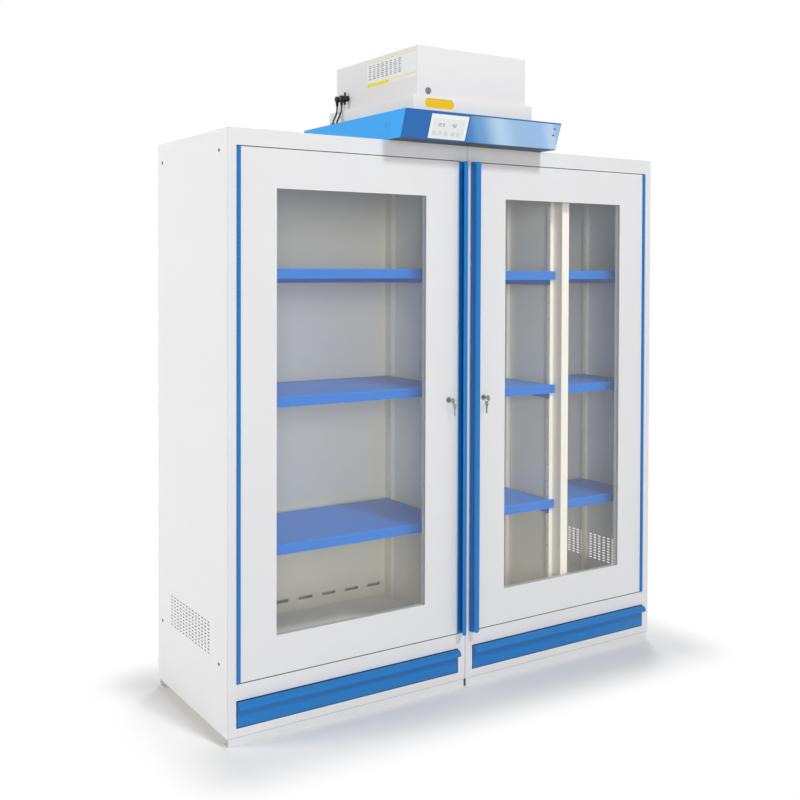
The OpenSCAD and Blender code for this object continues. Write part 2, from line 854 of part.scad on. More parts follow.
// The inner skin, with a frame that presses the gasket
module door_liner() {
    s = door_sheet;
    difference() {
        union() {
            block(door_u0, door_u1, door_t - s, door_t, door_lo, door_hi);
            window_block(liner_edge + s, gasket_y1, door_t);
        }
        window_block(liner_edge, gasket_y1 - cut, door_t + cut);
        rod_y(barrel_r + fit, lock_u, door_t - s - cut, door_t + cut, lock_z);
    }
}

module pane() window_block(glass_lap, door_sheet + gasket_t, door_sheet + gasket_t + glass_t);

// A U-shaped strip round the pane's edge
module pane_gasket() {
    difference() {
        window_block(glass_lap + gasket_t, door_sheet, gasket_y1);
        window_block(glass_lap - gasket_lap, door_sheet - cut, gasket_y1 + cut);
        pane();
    }
}

// Outline of a grip: a web, a rounded edge and a lip, from the corner of the rounded edge
module grip_outline(web, lip, r, t) {
    translate([-t, r]) square([t, web - r]);
    translate([-lip + t / 2, 0]) square([lip - t / 2 - r, t]);
    translate([-lip + t / 2, t / 2]) circle(t / 2);
    intersection() {
        translate([-r, r]) difference() {
            circle(r);
            circle(r - t);
        }
        translate([-r, 0]) square([r, r]);
    }
}

module door_grip() {
    web_u = bay_w - grip_seam;
    lip_u = web_u - grip_lip;
    base_y = -grip_front - grip_t;
    intersection() {
        translate([0, 0, door_lo]) linear_extrude(hinge_h) {
            translate([web_u, -grip_out]) grip_outline(grip_out - grip_front, grip_lip, grip_r, grip_t);
            translate([door_u1, base_y]) square([web_u - door_u1, grip_t]);
            translate([door_u1, base_y]) square([grip_t, grip_flange + grip_front + grip_t]);
        }
        union() {
            block(door_u1, web_u, -grip_out + grip_r, grip_flange, door_lo, door_hi);
            round_ends(lip_u, web_u, -grip_out, -grip_out + grip_r);
        }
    }
}

// A slab over the door's height whose four corners are rounded
module round_ends(u0, u1, y0, y1) {
    r = grip_end_r;
    block(u0, u1, y0, y1, door_lo + r, door_hi - r);
    block(u0 + r, u1 - r, y0, y1, door_lo, door_hi);
    for (u = [u0 + r, u1 - r])
        for (z = [door_lo + r, door_hi - r])
            rod_y(r, u, y0, y1, z);
}

module lock_barrel() {
    difference() {
        union() {
            rod_y(barrel_rim_r, lock_u, -barrel_rim_h, 0, lock_z);
            rod_y(barrel_r, lock_u, -barrel_rim_h, barrel_y1, lock_z);
        }
        rod_y(core_r + fit, lock_u, -barrel_rim_h - cut, barrel_y1 + cut, lock_z);
    }
}

// A bow with its hole, flat across x, round the point at y, z
module key_bow(u, y, z, r) {
    difference() {
        rod_x(r, u - key_t / 2, u + key_t / 2, y, z);
        rod_x(bow_hole_r, u - key_t, u + key_t, y, z);
    }
}

module lock_key() {
    rod_y(core_r, lock_u, -barrel_rim_h - 0.5, cam_y0, lock_z);
    rod_y(core_tail_r, lock_u, cam_y0, cam_y1 + 1, lock_z);
    key_bow(lock_u, -bow_out, lock_z, bow_r);
    block(lock_u - key_t / 2, lock_u + key_t / 2, -bow_out + bow_hole_r + 1.5, -barrel_rim_h,
        lock_z - blade_w / 2, lock_z + blade_w / 2);
}

module lock_cam() {
    difference() {
        union() {
            rod_y(cam_w / 2, lock_u, cam_y0, cam_y1, lock_z);
            block(lock_u - cam_w / 2, lock_u + cam_w / 2, cam_y0, cam_y1, lock_z - cam_l, lock_z);
        }
        rod_y(core_tail_r + fit, lock_u, cam_y0 - cut, cam_y1 + cut, lock_z);
    }
}

// The ring through the key's bow, and the spare key that hangs from it
module spare_key() {
    translate([ring_u, ring_y, ring_z]) rotate([90, 0, 0]) rotate_extrude()
        translate([ring_r, 0]) circle(wire_r, $fn = 16);
    key_bow(ring_u, ring_y, spare_z, spare_bow_r);
    translate([ring_u - key_t / 2, ring_y - blade_w / 2, spare_z - spare_bow_r - blade_l])
        cube([key_t, blade_w, blade_l + spare_bow_r - bow_hole_r - 1.5]);
}

module left_door() color(white) left_bay() door_pan();
module right_door() color(white) right_bay() door_pan();
module left_door_liner() color(white) left_bay() door_liner();
module right_door_liner() color(white) right_bay() door_liner();
module left_glass() color("#cfe0e6", 0.3) left_bay() pane();
module right_glass() color("#cfe0e6", 0.3) right_bay() pane();
module left_gasket() color(grey) left_bay() pane_gasket();
module right_gasket() color(grey) right_bay() pane_gasket();
module left_handle() color(blue) left_bay() door_grip();
module right_handle() color(blue) right_bay() door_grip();
module left_lock_barrel() color(steel) left_bay() lock_barrel();
module right_lock_barrel() color(steel) right_bay() lock_barrel();
module left_key() color(steel) left_bay() lock_key();
module right_key() color(steel) right_bay() lock_key();
module left_lock_cam() color(steel) left_bay() lock_cam();
module right_lock_cam() color(steel) right_bay() lock_cam();
module left_spare_key() color(steel) left_bay() spare_key();
module right_spare_key() color(steel) right_bay() spare_key();

// Drawers

module drawer_tray() {
    s = tray_sheet;
    u1 = bay_w - runner_u1;
    y1 = front_t + tray_l;
    z0 = drawer_z0 + tray_low;
    z1 = drawer_z1 - tray_high;
    difference() {
        block(runner_u1, u1, front_t, y1, z0, z1);
        block(runner_u1 + s, u1 - s, front_t + s, y1 - s, z0 + s, z1 + cut);
    }
    for (u = [runner_u0, u1])
        block(u, u + runner_w, front_t + runner_back, y1, runner_z0 + runner_fit, runner_z1 - runner_fit);
}

module drawer_front() {
    s = tray_sheet;
    difference() {
        block(drawer_u0, drawer_u1, 0, front_t, drawer_lo, drawer_hi);
        block(drawer_u0 + s, drawer_u1 - s, s, front_t + cut, drawer_lo + s, drawer_hi - s);
    }
    for (u = [0.2 * bay_w, 0.8 * bay_w])
        block(u, u + s, s, front_t, drawer_lo, drawer_hi);
    along_x(drawer_u0, drawer_u1) translate([-pull_out, drawer_hi]) mirror([1, -1])
        grip_outline(pull_out + s, pull_drop, pull_r, grip_t);
}

// A channel that holds one runner, on two feet that reach the side panel
module drawer_guide() {
    z0 = runner_z0;
    z1 = runner_z1;
    y1 = guide_y0 + guide_l;
    t = guide_t;
    block(guide_u0, guide_u0 + t, guide_y0, y1, z0 - t, z1 + t);
    for (z = [z0 - t, z1])
        block(guide_u0, runner_u1 - 2, guide_y0, y1, z, z + t);
    for (y = [guide_y0 + foot_end, y1 - foot_end - 2 * t])
        block(sheet, guide_u0, y, y + 2 * t, z0 - t, z1 + t);
}

module drawer_guides() {
    color(steel) both_bays() {
        drawer_guide();
        translate([bay_w, 0, 0]) mirror([1, 0, 0]) drawer_guide();
    }
}

module left_drawer_tray() color(white) left_bay() drawer_tray();
module right_drawer_tray() color(white) right_bay() drawer_tray();
module left_drawer_front() color(blue) left_bay() drawer_front();
module right_drawer_front() color(blue) right_bay() drawer_front();

// Filter unit

// Side outline of the hood, m smaller all round
module hood_outline(m) {
    lean = (hood_top_out - hood_low_out) / hood_h;
    side_m = m / cos(hood_slope);
    polygon([
        [-hood_low_out - lean * m + side_m, hood_z0 + m],
        [-hood_top_out + lean * m + side_m, hood_z1 - m],
        [hood_y1 - m, hood_z1 - m],
        [hood_y1 - m, hood_z0 + m]
    ]);
}

// Places a plate on the hood's sloped front
module on_slope() translate([0, -hood_low_out, hood_z0]) rotate([hood_slope, 0, 0]) children();

module hood() {
    w = hood_w / 2;
    mid_z = hood_z0 + hood_h / 2;
    rim = filter_w / 2 - air_rim;
    color(bright_blue) middle() difference() {
        along_x(-w, w) hood_outline(0);
        along_x(-w + sheet, w - sheet) hood_outline(sheet);
        for (x = [-air_x, air_x])
            translate([x, air_y, hood_z0 - cut]) cylinder(r = air_r, h = sheet + 2 * cut);
        block(-rim, rim, -filter_out + air_rim, filter_y1 - air_rim, hood_z1 - sheet - cut, hood_z1 + cut);
        block(-inlet_x - inlet_w / 2, -inlet_x + inlet_w / 2, hood_y1 - sheet - cut, hood_y1 + cut,
            mid_z - inlet_h / 2, mid_z + inlet_h / 2);
        difference() {
            rod_x(entry_r, -w - cut, -w + entry_depth, entry_y, mid_z);
            rod_x(entry_r - entry_groove, -w - 2 * cut, -w + 2 * cut, entry_y, mid_z);
        }
    }
}

module fascia_plate() {
    color("#b9cfe8") middle() on_slope()
        block(-fascia_x, hood_w / 2 - fascia_end, -plate_t, 0, fascia_low, fascia_low + fascia_h);
}

module display() {
    x0 = -fascia_x - display_gap - display_w;
    color("#f2f2ee") middle() on_slope()
        block(x0, x0 + display_w, -plate_t, 0, display_low, display_low + display_h);
}

// The oblong window, drawn along y
module oblong(x, z, w, h, y0, y1) {
    block(x - w / 2 + h / 2, x + w / 2 - h / 2, y0, y1, z - h / 2, z + h / 2);
    for (e = [x - w / 2 + h / 2, x + w / 2 - h / 2])
        rod_y(h / 2, e, y0, y1, z);
}

module filter_box() {
    w = filter_w / 2;
    rim = fan_w / 2 - air_rim;
    y0 = -filter_out;
    color(white) middle() difference() {
        block(-w, w, y0, filter_y1, hood_z1, filter_z1);
        block(-w + sheet, w - sheet, y0 + sheet, filter_y1 - sheet, hood_z1 - cut, filter_z1 - sheet);
        block(-rim, rim, -fan_out + air_rim, fan_y1 - air_rim, filter_z1 - sheet - cut, filter_z1 + cut);
        oblong(-oblong_x, hood_z1 + oblong_z, oblong_w, oblong_h, y0 - cut, y0 + sheet + cut);
    }
}

module type_plate() {
    y0 = -filter_out + sheet;
    w = oblong_w / 2 + type_rim;
    h = oblong_h / 2 + type_rim;
    z = hood_z1 + oblong_z;
    color("#f2c40f") middle() block(-oblong_x - w, -oblong_x + w, y0, y0 + 1, z - h, z + h);
}

module filter_cassette() {
    w = filter_w / 2 - sheet - cassette_gap;
    color("#d9d4c8") middle()
        block(-w, w, -filter_out + sheet + cassette_gap, filter_y1 - sheet - cassette_gap, hood_z1,
            filter_z1 - sheet - cassette_gap);
}

module fan_box() {
    w = fan_w / 2;
    y0 = -fan_out;
    e = exhaust_w / 2;
    color(white) middle() difference() {
        block(-w, w, y0, fan_y1, filter_z1, fan_z1);
        block(-w + sheet, w - sheet, y0 + sheet, fan_y1 - sheet, filter_z1 - cut, fan_z1 - sheet);
        block(-e, e, fan_mid_y - e, fan_mid_y + e, fan_z1 - sheet - cut, fan_z1 + cut);
        rod_y(box_core_r + fit, -box_lock_x, y0 - cut, y0 + sheet + cut, filter_z1 + box_lock_z);
    }
}

module exhaust_grille() {
    e = exhaust_w / 2 + exhaust_rim;
    step = exhaust_w / exhaust_slots;
    slot_l = exhaust_w - 2 * exhaust_end;
    color(grey) middle() difference() {
        block(-e, e, fan_mid_y - e, fan_mid_y + e, fan_z1 - 2 * sheet, fan_z1 - sheet);
        for (i = [0 : exhaust_slots - 1])
            translate([(i + 0.5) * step - exhaust_w / 2 - exhaust_slot / 2, fan_mid_y - slot_l / 2,
                fan_z1 - 2 * sheet - cut])
                cube([exhaust_slot, slot_l, sheet + 2 * cut]);
    }
}

module fan_motor() {
    w = fan_w / 2 - sheet;
    color(steel) middle() {
        block(-w, w, fan_mid_y - bracket_w / 2, fan_mid_y + bracket_w / 2, bracket_z0, motor_z0);
        translate([0, fan_mid_y, motor_z0]) cylinder(r = motor_r, h = motor_h);
        translate([0, fan_mid_y, motor_z0]) cylinder(r = shaft_r, h = impeller_z0 + impeller_h - motor_z0);
    }
}

module impeller() {
    blade_r0 = inlet_r - blade_in;
    blade_r1 = impeller_r - blade_end;
    blade_l_out = sqrt(pow(blade_r1, 2) - pow(blade_r0 * sin(blade_angle), 2)) - blade_r0 * cos(blade_angle);
    color(black) middle() translate([0, fan_mid_y, impeller_z0]) {
        difference() {
            union() {
                cylinder(r = impeller_r, h = disc_t);
                cylinder(r = hub_r, h = impeller_h - 2);
            }
            translate([0, 0, -cut]) cylinder(r = shaft_r + fit, h = impeller_h + 2 * cut);
        }
        translate([0, 0, impeller_h - disc_t]) difference() {
            cylinder(r = impeller_r, h = disc_t);
            translate([0, 0, -cut]) cylinder(r = inlet_r, h = disc_t + 2 * cut);
        }
        for (i = [0 : blades - 1])
            rotate(i * 360 / blades) translate([blade_r0, 0, disc_t / 2]) rotate(blade_angle)
                cube([blade_l_out, blade_t, impeller_h - disc_t]);
    }
}

module box_lock() {
    x = -box_lock_x;
    z = filter_z1 + box_lock_z;
    y0 = -fan_out;
    color(steel) middle() difference() {
        union() {
            rod_y(box_lock_r, x, y0 - box_lock_h, y0, z);
            rod_y(box_core_r, x, y0 - box_lock_h, y0 + sheet + box_core_l, z);
        }
        block(x - box_slot_w / 2, x + box_slot_w / 2, y0 - box_lock_h - cut, y0 - box_lock_h + box_slot_d,
            z - box_slot_l / 2, z + box_slot_l / 2);
    }
}

// A plug on the fan box's side, with its sleeve pointing down
module lead_plug(y) {
    x0 = -fan_w / 2 - plug_l;
    rod_x(plug_r, x0, -fan_w / 2, y, plug_z);
    translate([sleeve_x, y, sleeve_z]) cylinder(r = sleeve_r, h = plug_z - sleeve_z);
}

// The latch that holds the front plug
module plug_latch(y) {
    x = -fan_w / 2 - latch_x;
    block(x - latch_w / 2, x + latch_w / 2, y - latch_t / 2, y + latch_t / 2,
        plug_z - latch_l / 2, plug_z + latch_l / 2);
}

module lead_plugs() {
    color(black) middle() {
        for (y = plug_y)
            lead_plug(y);
        plug_latch(plug_y[0]);
        for (i = [0, 1])
            translate([gland_x[i], gland_y[i], hood_z1]) cylinder(r = gland_r, h = gland_h);
    }
}

// Ring of points round the point p of a lead, square to the direction d
function ring_at(p, d) = let(a = d / norm(d), e = cross(a, [0, 1, 0]), u = e / norm(e), v = cross(a, u))
    [for (k = [0 : lead_sides - 1]) let(t = k * 360 / lead_sides) p + lead_r * (cos(t) * u + sin(t) * v)];
function direction(pts, i) = i == 0 || i == len(pts) - 1 ? [0, 0, -1] : pts[i + 1] - pts[i - 1];

// A round lead along the points pts, upright at both ends
module lead(pts) {
    n = lead_sides;
    rings = len(pts);
    points = [for (i = [0 : rings - 1]) each ring_at(pts[i], direction(pts, i))];
    walls = [for (i = [0 : rings - 2]) for (k = [0 : n - 1])
        each [[i * n + k, i * n + (k + 1) % n, (i + 1) * n + k],
            [i * n + (k + 1) % n, (i + 1) * n + (k + 1) % n, (i + 1) * n + k]]];
    ends = [[for (k = [0 : n - 1]) n - 1 - k], [for (k = [0 : n - 1]) (rings - 1) * n + k]];
    polyhedron(points, concat(walls, ends), convexity = 4);
}

module link_leads() {
    color(black) middle() for (i = [0, 1]) {
        from = [sleeve_x, plug_y[i], sleeve_z];
        way = [gland_x[i], gland_y[i], gland_z] - from;
        lead([for (w = lead_way) from + [way[0] * w[0], way[1] * w[0], way[2] * w[1]]]);
    }
}

module mains_inlet() {
    mid_z = hood_z0 + hood_h / 2;
    w = inlet_w / 2;
    h = inlet_h / 2;
    wall = 2;
    y1 = hood_y1 + wall;
    color(black) middle() translate([-inlet_x, 0, mid_z]) difference() {
        union() {
            block(-w - inlet_rim, w + inlet_rim, hood_y1, y1, -h - wall, h + wall);
            block(-w, w, hood_y1 - inlet_d, hood_y1, -h, h);
        }
        block(-w + wall, w - wall, hood_y1 - inlet_d + 3 * wall, y1 + cut, -h + wall, h - wall);
    }
}

left_outer_side();
right_outer_side();
inner_sides();
left_front_frame();
right_front_frame();
back_panels();
roof_panels();
compartment_floors();
base_pans();
air_baffles();
plinth_rails();
partition();
shelf_uprights();
shelf_clips();
left_shelves();
right_inner_shelves();
right_outer_shelves();
joining_bolts();
frame_hinge_leaves();
hinge_pins();
drawer_guides();
left_door();
left_door_liner();
left_glass();
left_gasket();
left_handle();
left_door_leaf();
left_lock_barrel();
left_key();
left_lock_cam();
left_spare_key();
right_door();
right_door_liner();
right_glass();
right_gasket();
right_handle();
right_door_leaf();
right_lock_barrel();
right_key();
right_lock_cam();
right_spare_key();
left_drawer_tray();
left_drawer_front();
right_drawer_tray();
right_drawer_front();
hood();
fascia_plate();
display();
filter_box();
filter_cassette();
type_plate();
fan_box();
exhaust_grille();
fan_motor();
impeller();
box_lock();
lead_plugs();
link_leads();
mains_inlet();
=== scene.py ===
import math

import bmesh
import bpy
from mathutils import Matrix, Vector


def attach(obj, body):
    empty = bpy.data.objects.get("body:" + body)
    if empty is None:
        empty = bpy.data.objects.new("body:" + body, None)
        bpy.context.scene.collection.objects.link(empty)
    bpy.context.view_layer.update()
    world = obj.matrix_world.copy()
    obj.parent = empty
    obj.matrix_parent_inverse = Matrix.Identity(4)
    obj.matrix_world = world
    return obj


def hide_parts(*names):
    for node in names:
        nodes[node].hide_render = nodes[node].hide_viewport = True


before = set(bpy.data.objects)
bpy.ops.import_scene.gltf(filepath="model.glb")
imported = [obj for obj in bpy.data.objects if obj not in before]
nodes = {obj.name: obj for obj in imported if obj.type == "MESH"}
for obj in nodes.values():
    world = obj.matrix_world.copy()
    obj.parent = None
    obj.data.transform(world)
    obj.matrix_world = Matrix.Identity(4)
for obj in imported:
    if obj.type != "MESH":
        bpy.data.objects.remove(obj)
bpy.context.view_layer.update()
scene = bpy.context.scene
print("frame loaded:", len(nodes), "nodes")

mm = 0.001
up = Vector((0, 0, 1))
forward = Vector((0, -1, 0))
rearward = Vector((0, 1, 0))
leftward = Vector((-1, 0, 0))
rightward = Vector((1, 0, 0))
bothSides = {"left": -1, "right": 1}

# The two bays mirror each other about the seam: u runs inwards from a bay's outer side, y back from the front
bay = {
    "width": 950,
    "depth": 620,
    "frontY": -250,
    "low": 30,
    "high": 1995,
    "sheet": 2,
}


def atBay(side, u, y, z):
    return Vector((side * (bay["width"] - u), bay["frontY"] + y, z)) * mm


def atMiddle(x, y, z):
    return Vector((x, bay["frontY"] + y, z)) * mm


# Camera

cameraSet = {
    "place": (-2.3265, -3.3699, 1.54575),
    "tilt": 88.949,
    "roll": -0.185,
    "turn": -33.094,
    "lens": 47.55,
    "sensor": 36,
    "shiftY": -0.14,
    "farthest": 100,
}


def makeCamera(s):
    lens = bpy.data.cameras.new("camera")
    lens.sensor_width = s["sensor"]
    lens.lens = s["lens"]
    lens.shift_y = s["shiftY"]
    lens.clip_end = s["farthest"]
    camera = bpy.data.objects.new("camera", lens)
    camera.location = s["place"]
    camera.rotation_euler = [math.radians(s[k]) for k in ("tilt", "roll", "turn")]
    scene.collection.objects.link(camera)
    scene.camera = camera


makeCamera(cameraSet)
print("camera placed")


# Node helpers

def feed(tree, value, socket):
    # a node stands for its first output, and what is no socket is set as the value
    if isinstance(value, bpy.types.Node):
        value = value.outputs[0]
    if isinstance(value, bpy.types.NodeSocket):
        tree.links.new(value, socket)
    else:
        socket.default_value = value


def feedAll(tree, sockets, values):
    for key, value in values.items():
        feed(tree, value, sockets[key])


def addNode(tree, kind, inputs=None, **settings):
    node = tree.nodes.new(kind)
    for key, value in settings.items():
        setattr(node, key, value)
    feedAll(tree, node.inputs, inputs or {})
    return node


def mathNode(tree, operation, *values):
    return addNode(tree, "ShaderNodeMath", dict(enumerate(values)), operation=operation)


def plus(tree, first, second):
    return mathNode(tree, "ADD", first, second)


def minus(tree, first, second):
    return mathNode(tree, "SUBTRACT", first, second)


def times(tree, first, second):
    return mathNode(tree, "MULTIPLY", first, second)


def vectorOf(tree, x, y, z=0.0):
    return addNode(tree, "ShaderNodeCombineXYZ", {0: x, 1: y, 2: z})


def newTree(name, kind, inputs, outputKind, outputs):
    tree = bpy.data.node_groups.new(name, kind)
    for label in outputs:
        tree.interface.new_socket(label, in_out="OUTPUT", socket_type="NodeSocket" + outputKind)
    for label, inputKind, value in inputs:
        socket = tree.interface.new_socket(label, in_out="INPUT", socket_type="NodeSocket" + inputKind)
        if value is not None:
            socket.default_value = value
    return tree, addNode(tree, "NodeGroupInput").outputs, addNode(tree, "NodeGroupOutput").inputs


# Shader groups

def linear(colour):
    # written as screen values from 0 to 255, used as light
    parts = [c / 255 for c in colour]
    return [c / 12.92 if c <= 0.04045 else ((c + 0.055) / 1.055) ** 2.4 for c in parts] + [1]


def shade(colour, share):
    return [min(1, c * share) for c in linear(colour)[:3]] + [1]


def noiseNode(tree, vector, scale, detail=3.0, roughness=0.6):
    return addNode(tree, "ShaderNodeTexNoise", {
        "Vector": vector, "Scale": scale, "Detail": detail, "Roughness": roughness,
    })


def mixColour(tree, factor, first, second):
    node = addNode(tree, "ShaderNodeMix", {0: factor}, data_type="RGBA")
    ends = [s for s in node.inputs if s.type == "RGBA"]
    feedAll(tree, ends, {0: first, 1: second})
    return [s for s in node.outputs if s.type == "RGBA"][0]


powderSet = {
    "peel": 420.0,
    "cloud": 2.4,
    "scuff": 46.0,
    "cloudRough": 0.12,
    "scuffRough": 0.06,
    "thinMost": 0.7,
    "thinShare": 1.12,
    "bump": (0.12, 0.0003),
}


def makePowderCoat(s):
    # baked powder: orange peel, a faint cloudiness, and thinner paint on the folds
    group, into, out = newTree("powderCoat", "ShaderNodeTree", [
        ("Vector", "Vector", None),
        ("Edge", "Float", 0.0),
        ("Peel", "Float", s["peel"]),
        ("Cloud", "Float", s["cloud"]),
        ("Roughness", "Float", 0.4),
    ], "Float", ["Tone", "Roughness", "Height", "Thin"])
    cloud = noiseNode(group, into["Vector"], into["Cloud"])
    scuff = noiseNode(group, into["Vector"], s["scuff"], roughness=0.65)
    spread = times(group, minus(group, cloud, 0.5), s["cloudRough"])
    fine = times(group, minus(group, scuff, 0.5), s["scuffRough"])
    feedAll(group, out, {
        "Tone": cloud,
        "Roughness": plus(group, into["Roughness"], plus(group, spread, fine)),
        "Height": noiseNode(group, into["Vector"], into["Peel"], 2, 0.5),
        "Thin": times(group, into["Edge"], mathNode(group, "SMOOTH_MIN", scuff, s["thinMost"])),
    })
    return group


brushSet = {
    "lines": 240.0,
    "spots": 70.0,
    "lineRough": 0.16,
    "shares": (0.82, 1.1),
    "bump": (0.06, 0.0002),
}


def makeBrushing(s):
    # hair lines along one direction, as on turned or brushed metal
    group, into, out = newTree("brushing", "ShaderNodeTree", [
        ("Vector", "Vector", None),
        ("Along", "Vector", (1.0, 1.0, 1.0)),
        ("Roughness", "Float", 0.3),
    ], "Float", ["Tone", "Roughness", "Height"])
    inputs = {0: into["Vector"], 1: into["Along"]}
    stretch = addNode(group, "ShaderNodeVectorMath", inputs, operation="MULTIPLY")
    lines = noiseNode(group, stretch, s["lines"], 4, 0.7)
    spots = noiseNode(group, into["Vector"], s["spots"])
    feedAll(group, out, {
        "Tone": times(group, plus(group, lines, spots), 0.5),
        "Roughness": plus(group, into["Roughness"], times(group, lines, s["lineRough"])),
        "Height": lines,
    })
    return group


mouldSet = {
    "wide": 9.0,
    "wideRough": 0.12,
    "bumpDeep": 0.0002,
}


def makeMoulding(s):
    # spark-eroded mould grain for plastic and rubber
    group, into, out = newTree("moulding", "ShaderNodeTree", [
        ("Vector", "Vector", None),
        ("Grain", "Float", 900.0),
        ("Roughness", "Float", 0.45),
    ], "Float", ["Tone", "Roughness", "Height"])
    wide = noiseNode(group, into["Vector"], s["wide"])
    feedAll(group, out, {
        "Tone": wide,
        "Roughness": plus(group, into["Roughness"], times(group, wide, s["wideRough"])),
        "Height": noiseNode(group, into["Vector"], into["Grain"]),
    })
    return group


powderCoat = makePowderCoat(powderSet)
brushing = makeBrushing(brushSet)
moulding = makeMoulding(mouldSet)


# Finishes

def newMaterial(name):
    material = bpy.data.materials.new(name)
    material.use_nodes = True
    tree = material.node_tree
    tree.nodes.clear()
    shader = addNode(tree, "ShaderNodeBsdfPrincipled")
    addNode(tree, "ShaderNodeOutputMaterial", {"Surface": shader})
    place = addNode(tree, "ShaderNodeTexCoord").outputs["Object"]
    return material, tree, shader, place


def mixOver(tree, factor, first, second):
    # the mix takes the first shader's place at the output
    surface = first.outputs[0].links[0].to_socket
    feed(tree, addNode(tree, "ShaderNodeMixShader", {0: factor, 1: first, 2: second}), surface)


def useGroup(tree, group, shader, bump, values):
    skin = addNode(tree, "ShaderNodeGroup", values, node_tree=group)
    strength, distance = bump
    height = {"Strength": strength, "Distance": distance, "Height": skin.outputs["Height"]}
    feedAll(tree, shader.inputs, {
        "Roughness": skin.outputs["Roughness"],
        "Normal": addNode(tree, "ShaderNodeBump", height),
    })
    return skin.outputs


def toneOver(tree, shader, skin, colour, shares):
    # the colour swings between two shares of itself
    body = mixColour(tree, skin["Tone"], *[shade(colour, share) for share in shares])
    feed(tree, body, shader.inputs["Base Color"])
    return body


def paint(name, colour, roughness=0.4, spread=0.03):
    material, tree, shader, place = newMaterial(name)
    edge = addNode(tree, "ShaderNodeAttribute", attribute_name="edge").outputs["Fac"]
    values = {"Vector": place, "Edge": edge, "Roughness": roughness}
    coat = useGroup(tree, powderCoat, shader, powderSet["bump"], values)
    body = toneOver(tree, shader, coat, colour, (1 - spread, 1 + spread))
    full = mixColour(tree, coat["Thin"], body, shade(colour, powderSet["thinShare"]))
    feed(tree, full, shader.inputs["Base Color"])
    return material


def metal(name, colour, roughness, along):
    material, tree, shader, place = newMaterial(name)
    values = {"Vector": place, "Along": along, "Roughness": roughness}
    brush = useGroup(tree, brushing, shader, brushSet["bump"], values)
    toneOver(tree, shader, brush, colour, brushSet["shares"])
    shader.inputs["Metallic"].default_value = 1
    return material


def moulded(name, colour, roughness, grain=900.0, bump=0.12, spread=0.08):
    material, tree, shader, place = newMaterial(name)
    values = {"Vector": place, "Grain": grain, "Roughness": roughness}
    skin = useGroup(tree, moulding, shader, (bump, mouldSet["bumpDeep"]), values)
    toneOver(tree, shader, skin, colour, (1 - spread, 1 + spread))
    return material


glassSet = {
    "tint": (0.985, 0.99, 0.985, 1),
    "clear": (0.97, 0.98, 0.975, 1),
    "bend": 1.5,
    "smear": 3.2,
    "smearRough": 0.03,
}


def paneGlass(name, s):
    material, tree, shader, place = newMaterial(name)
    feedAll(tree, shader.inputs, {
        "Base Color": s["tint"],
        "Roughness": times(tree, noiseNode(tree, place, s["smear"], 4), s["smearRough"]),
        "IOR": s["bend"],
        "Transmission Weight": 1,
    })
    # lamps reach the shelves through the pane
    shadow = addNode(tree, "ShaderNodeLightPath").outputs["Is Shadow Ray"]
    mixOver(tree, shadow, shader, addNode(tree, "ShaderNodeBsdfTransparent", {"Color": s["clear"]}))
    return material


fasciaSet = {
    "x0": -0.073,
    "x1": 0.347,
    "midZ": 2.0435,
    "lean": 0.55,
    # painted reflection: the lightest stops make the slanted bright bands across the plate
    "stops": [
        (0.0, (66, 128, 192)),
        (0.12, (104, 156, 206)),
        (0.34, (178, 208, 234)),
        (0.55, (152, 188, 224)),
        (0.78, (150, 188, 228)),
        (0.93, (182, 210, 240)),
        (1.0, (150, 188, 230)),
    ],
    "along": (0.04, 1, 1),
    "roughness": 0.22,
    "metallic": 0.15,
    "tone": (0.96, 0.08),
    "bump": (0.03, 0.0001),
}


def fasciaFadeAndSheen(name, s):
    # a lacquered plate whose blue fades across it; the slanted bright bands in the fade are a painted
    # reflection
    material, tree, shader, place = newMaterial(name)
    values = {"Vector": place, "Along": s["along"], "Roughness": s["roughness"]}
    brush = useGroup(tree, brushing, shader, s["bump"], values)
    apart = addNode(tree, "ShaderNodeSeparateXYZ", {0: place}).outputs
    across = plus(tree, apart["X"], times(tree, minus(tree, apart["Z"], s["midZ"]), s["lean"]))
    share = addNode(tree, "ShaderNodeMapRange", {"Value": across, "From Min": s["x0"], "From Max": s["x1"]})
    ramp = addNode(tree, "ShaderNodeValToRGB", {0: share})
    ramp.color_ramp.interpolation = "EASE"
    stops = ramp.color_ramp.elements
    while len(stops) < len(s["stops"]):
        stops.new(0.5)
    for stop, (where, colour) in zip(stops, s["stops"]):
        stop.position = where
        stop.color = linear(colour)
    least, swing = s["tone"]
    tone = plus(tree, times(tree, brush["Tone"], swing), least)
    toned = addNode(tree, "ShaderNodeVectorMath", {0: ramp, "Scale": tone}, operation="SCALE")
    feedAll(tree, shader.inputs, {"Base Color": toned, "Metallic": s["metallic"]})
    return material


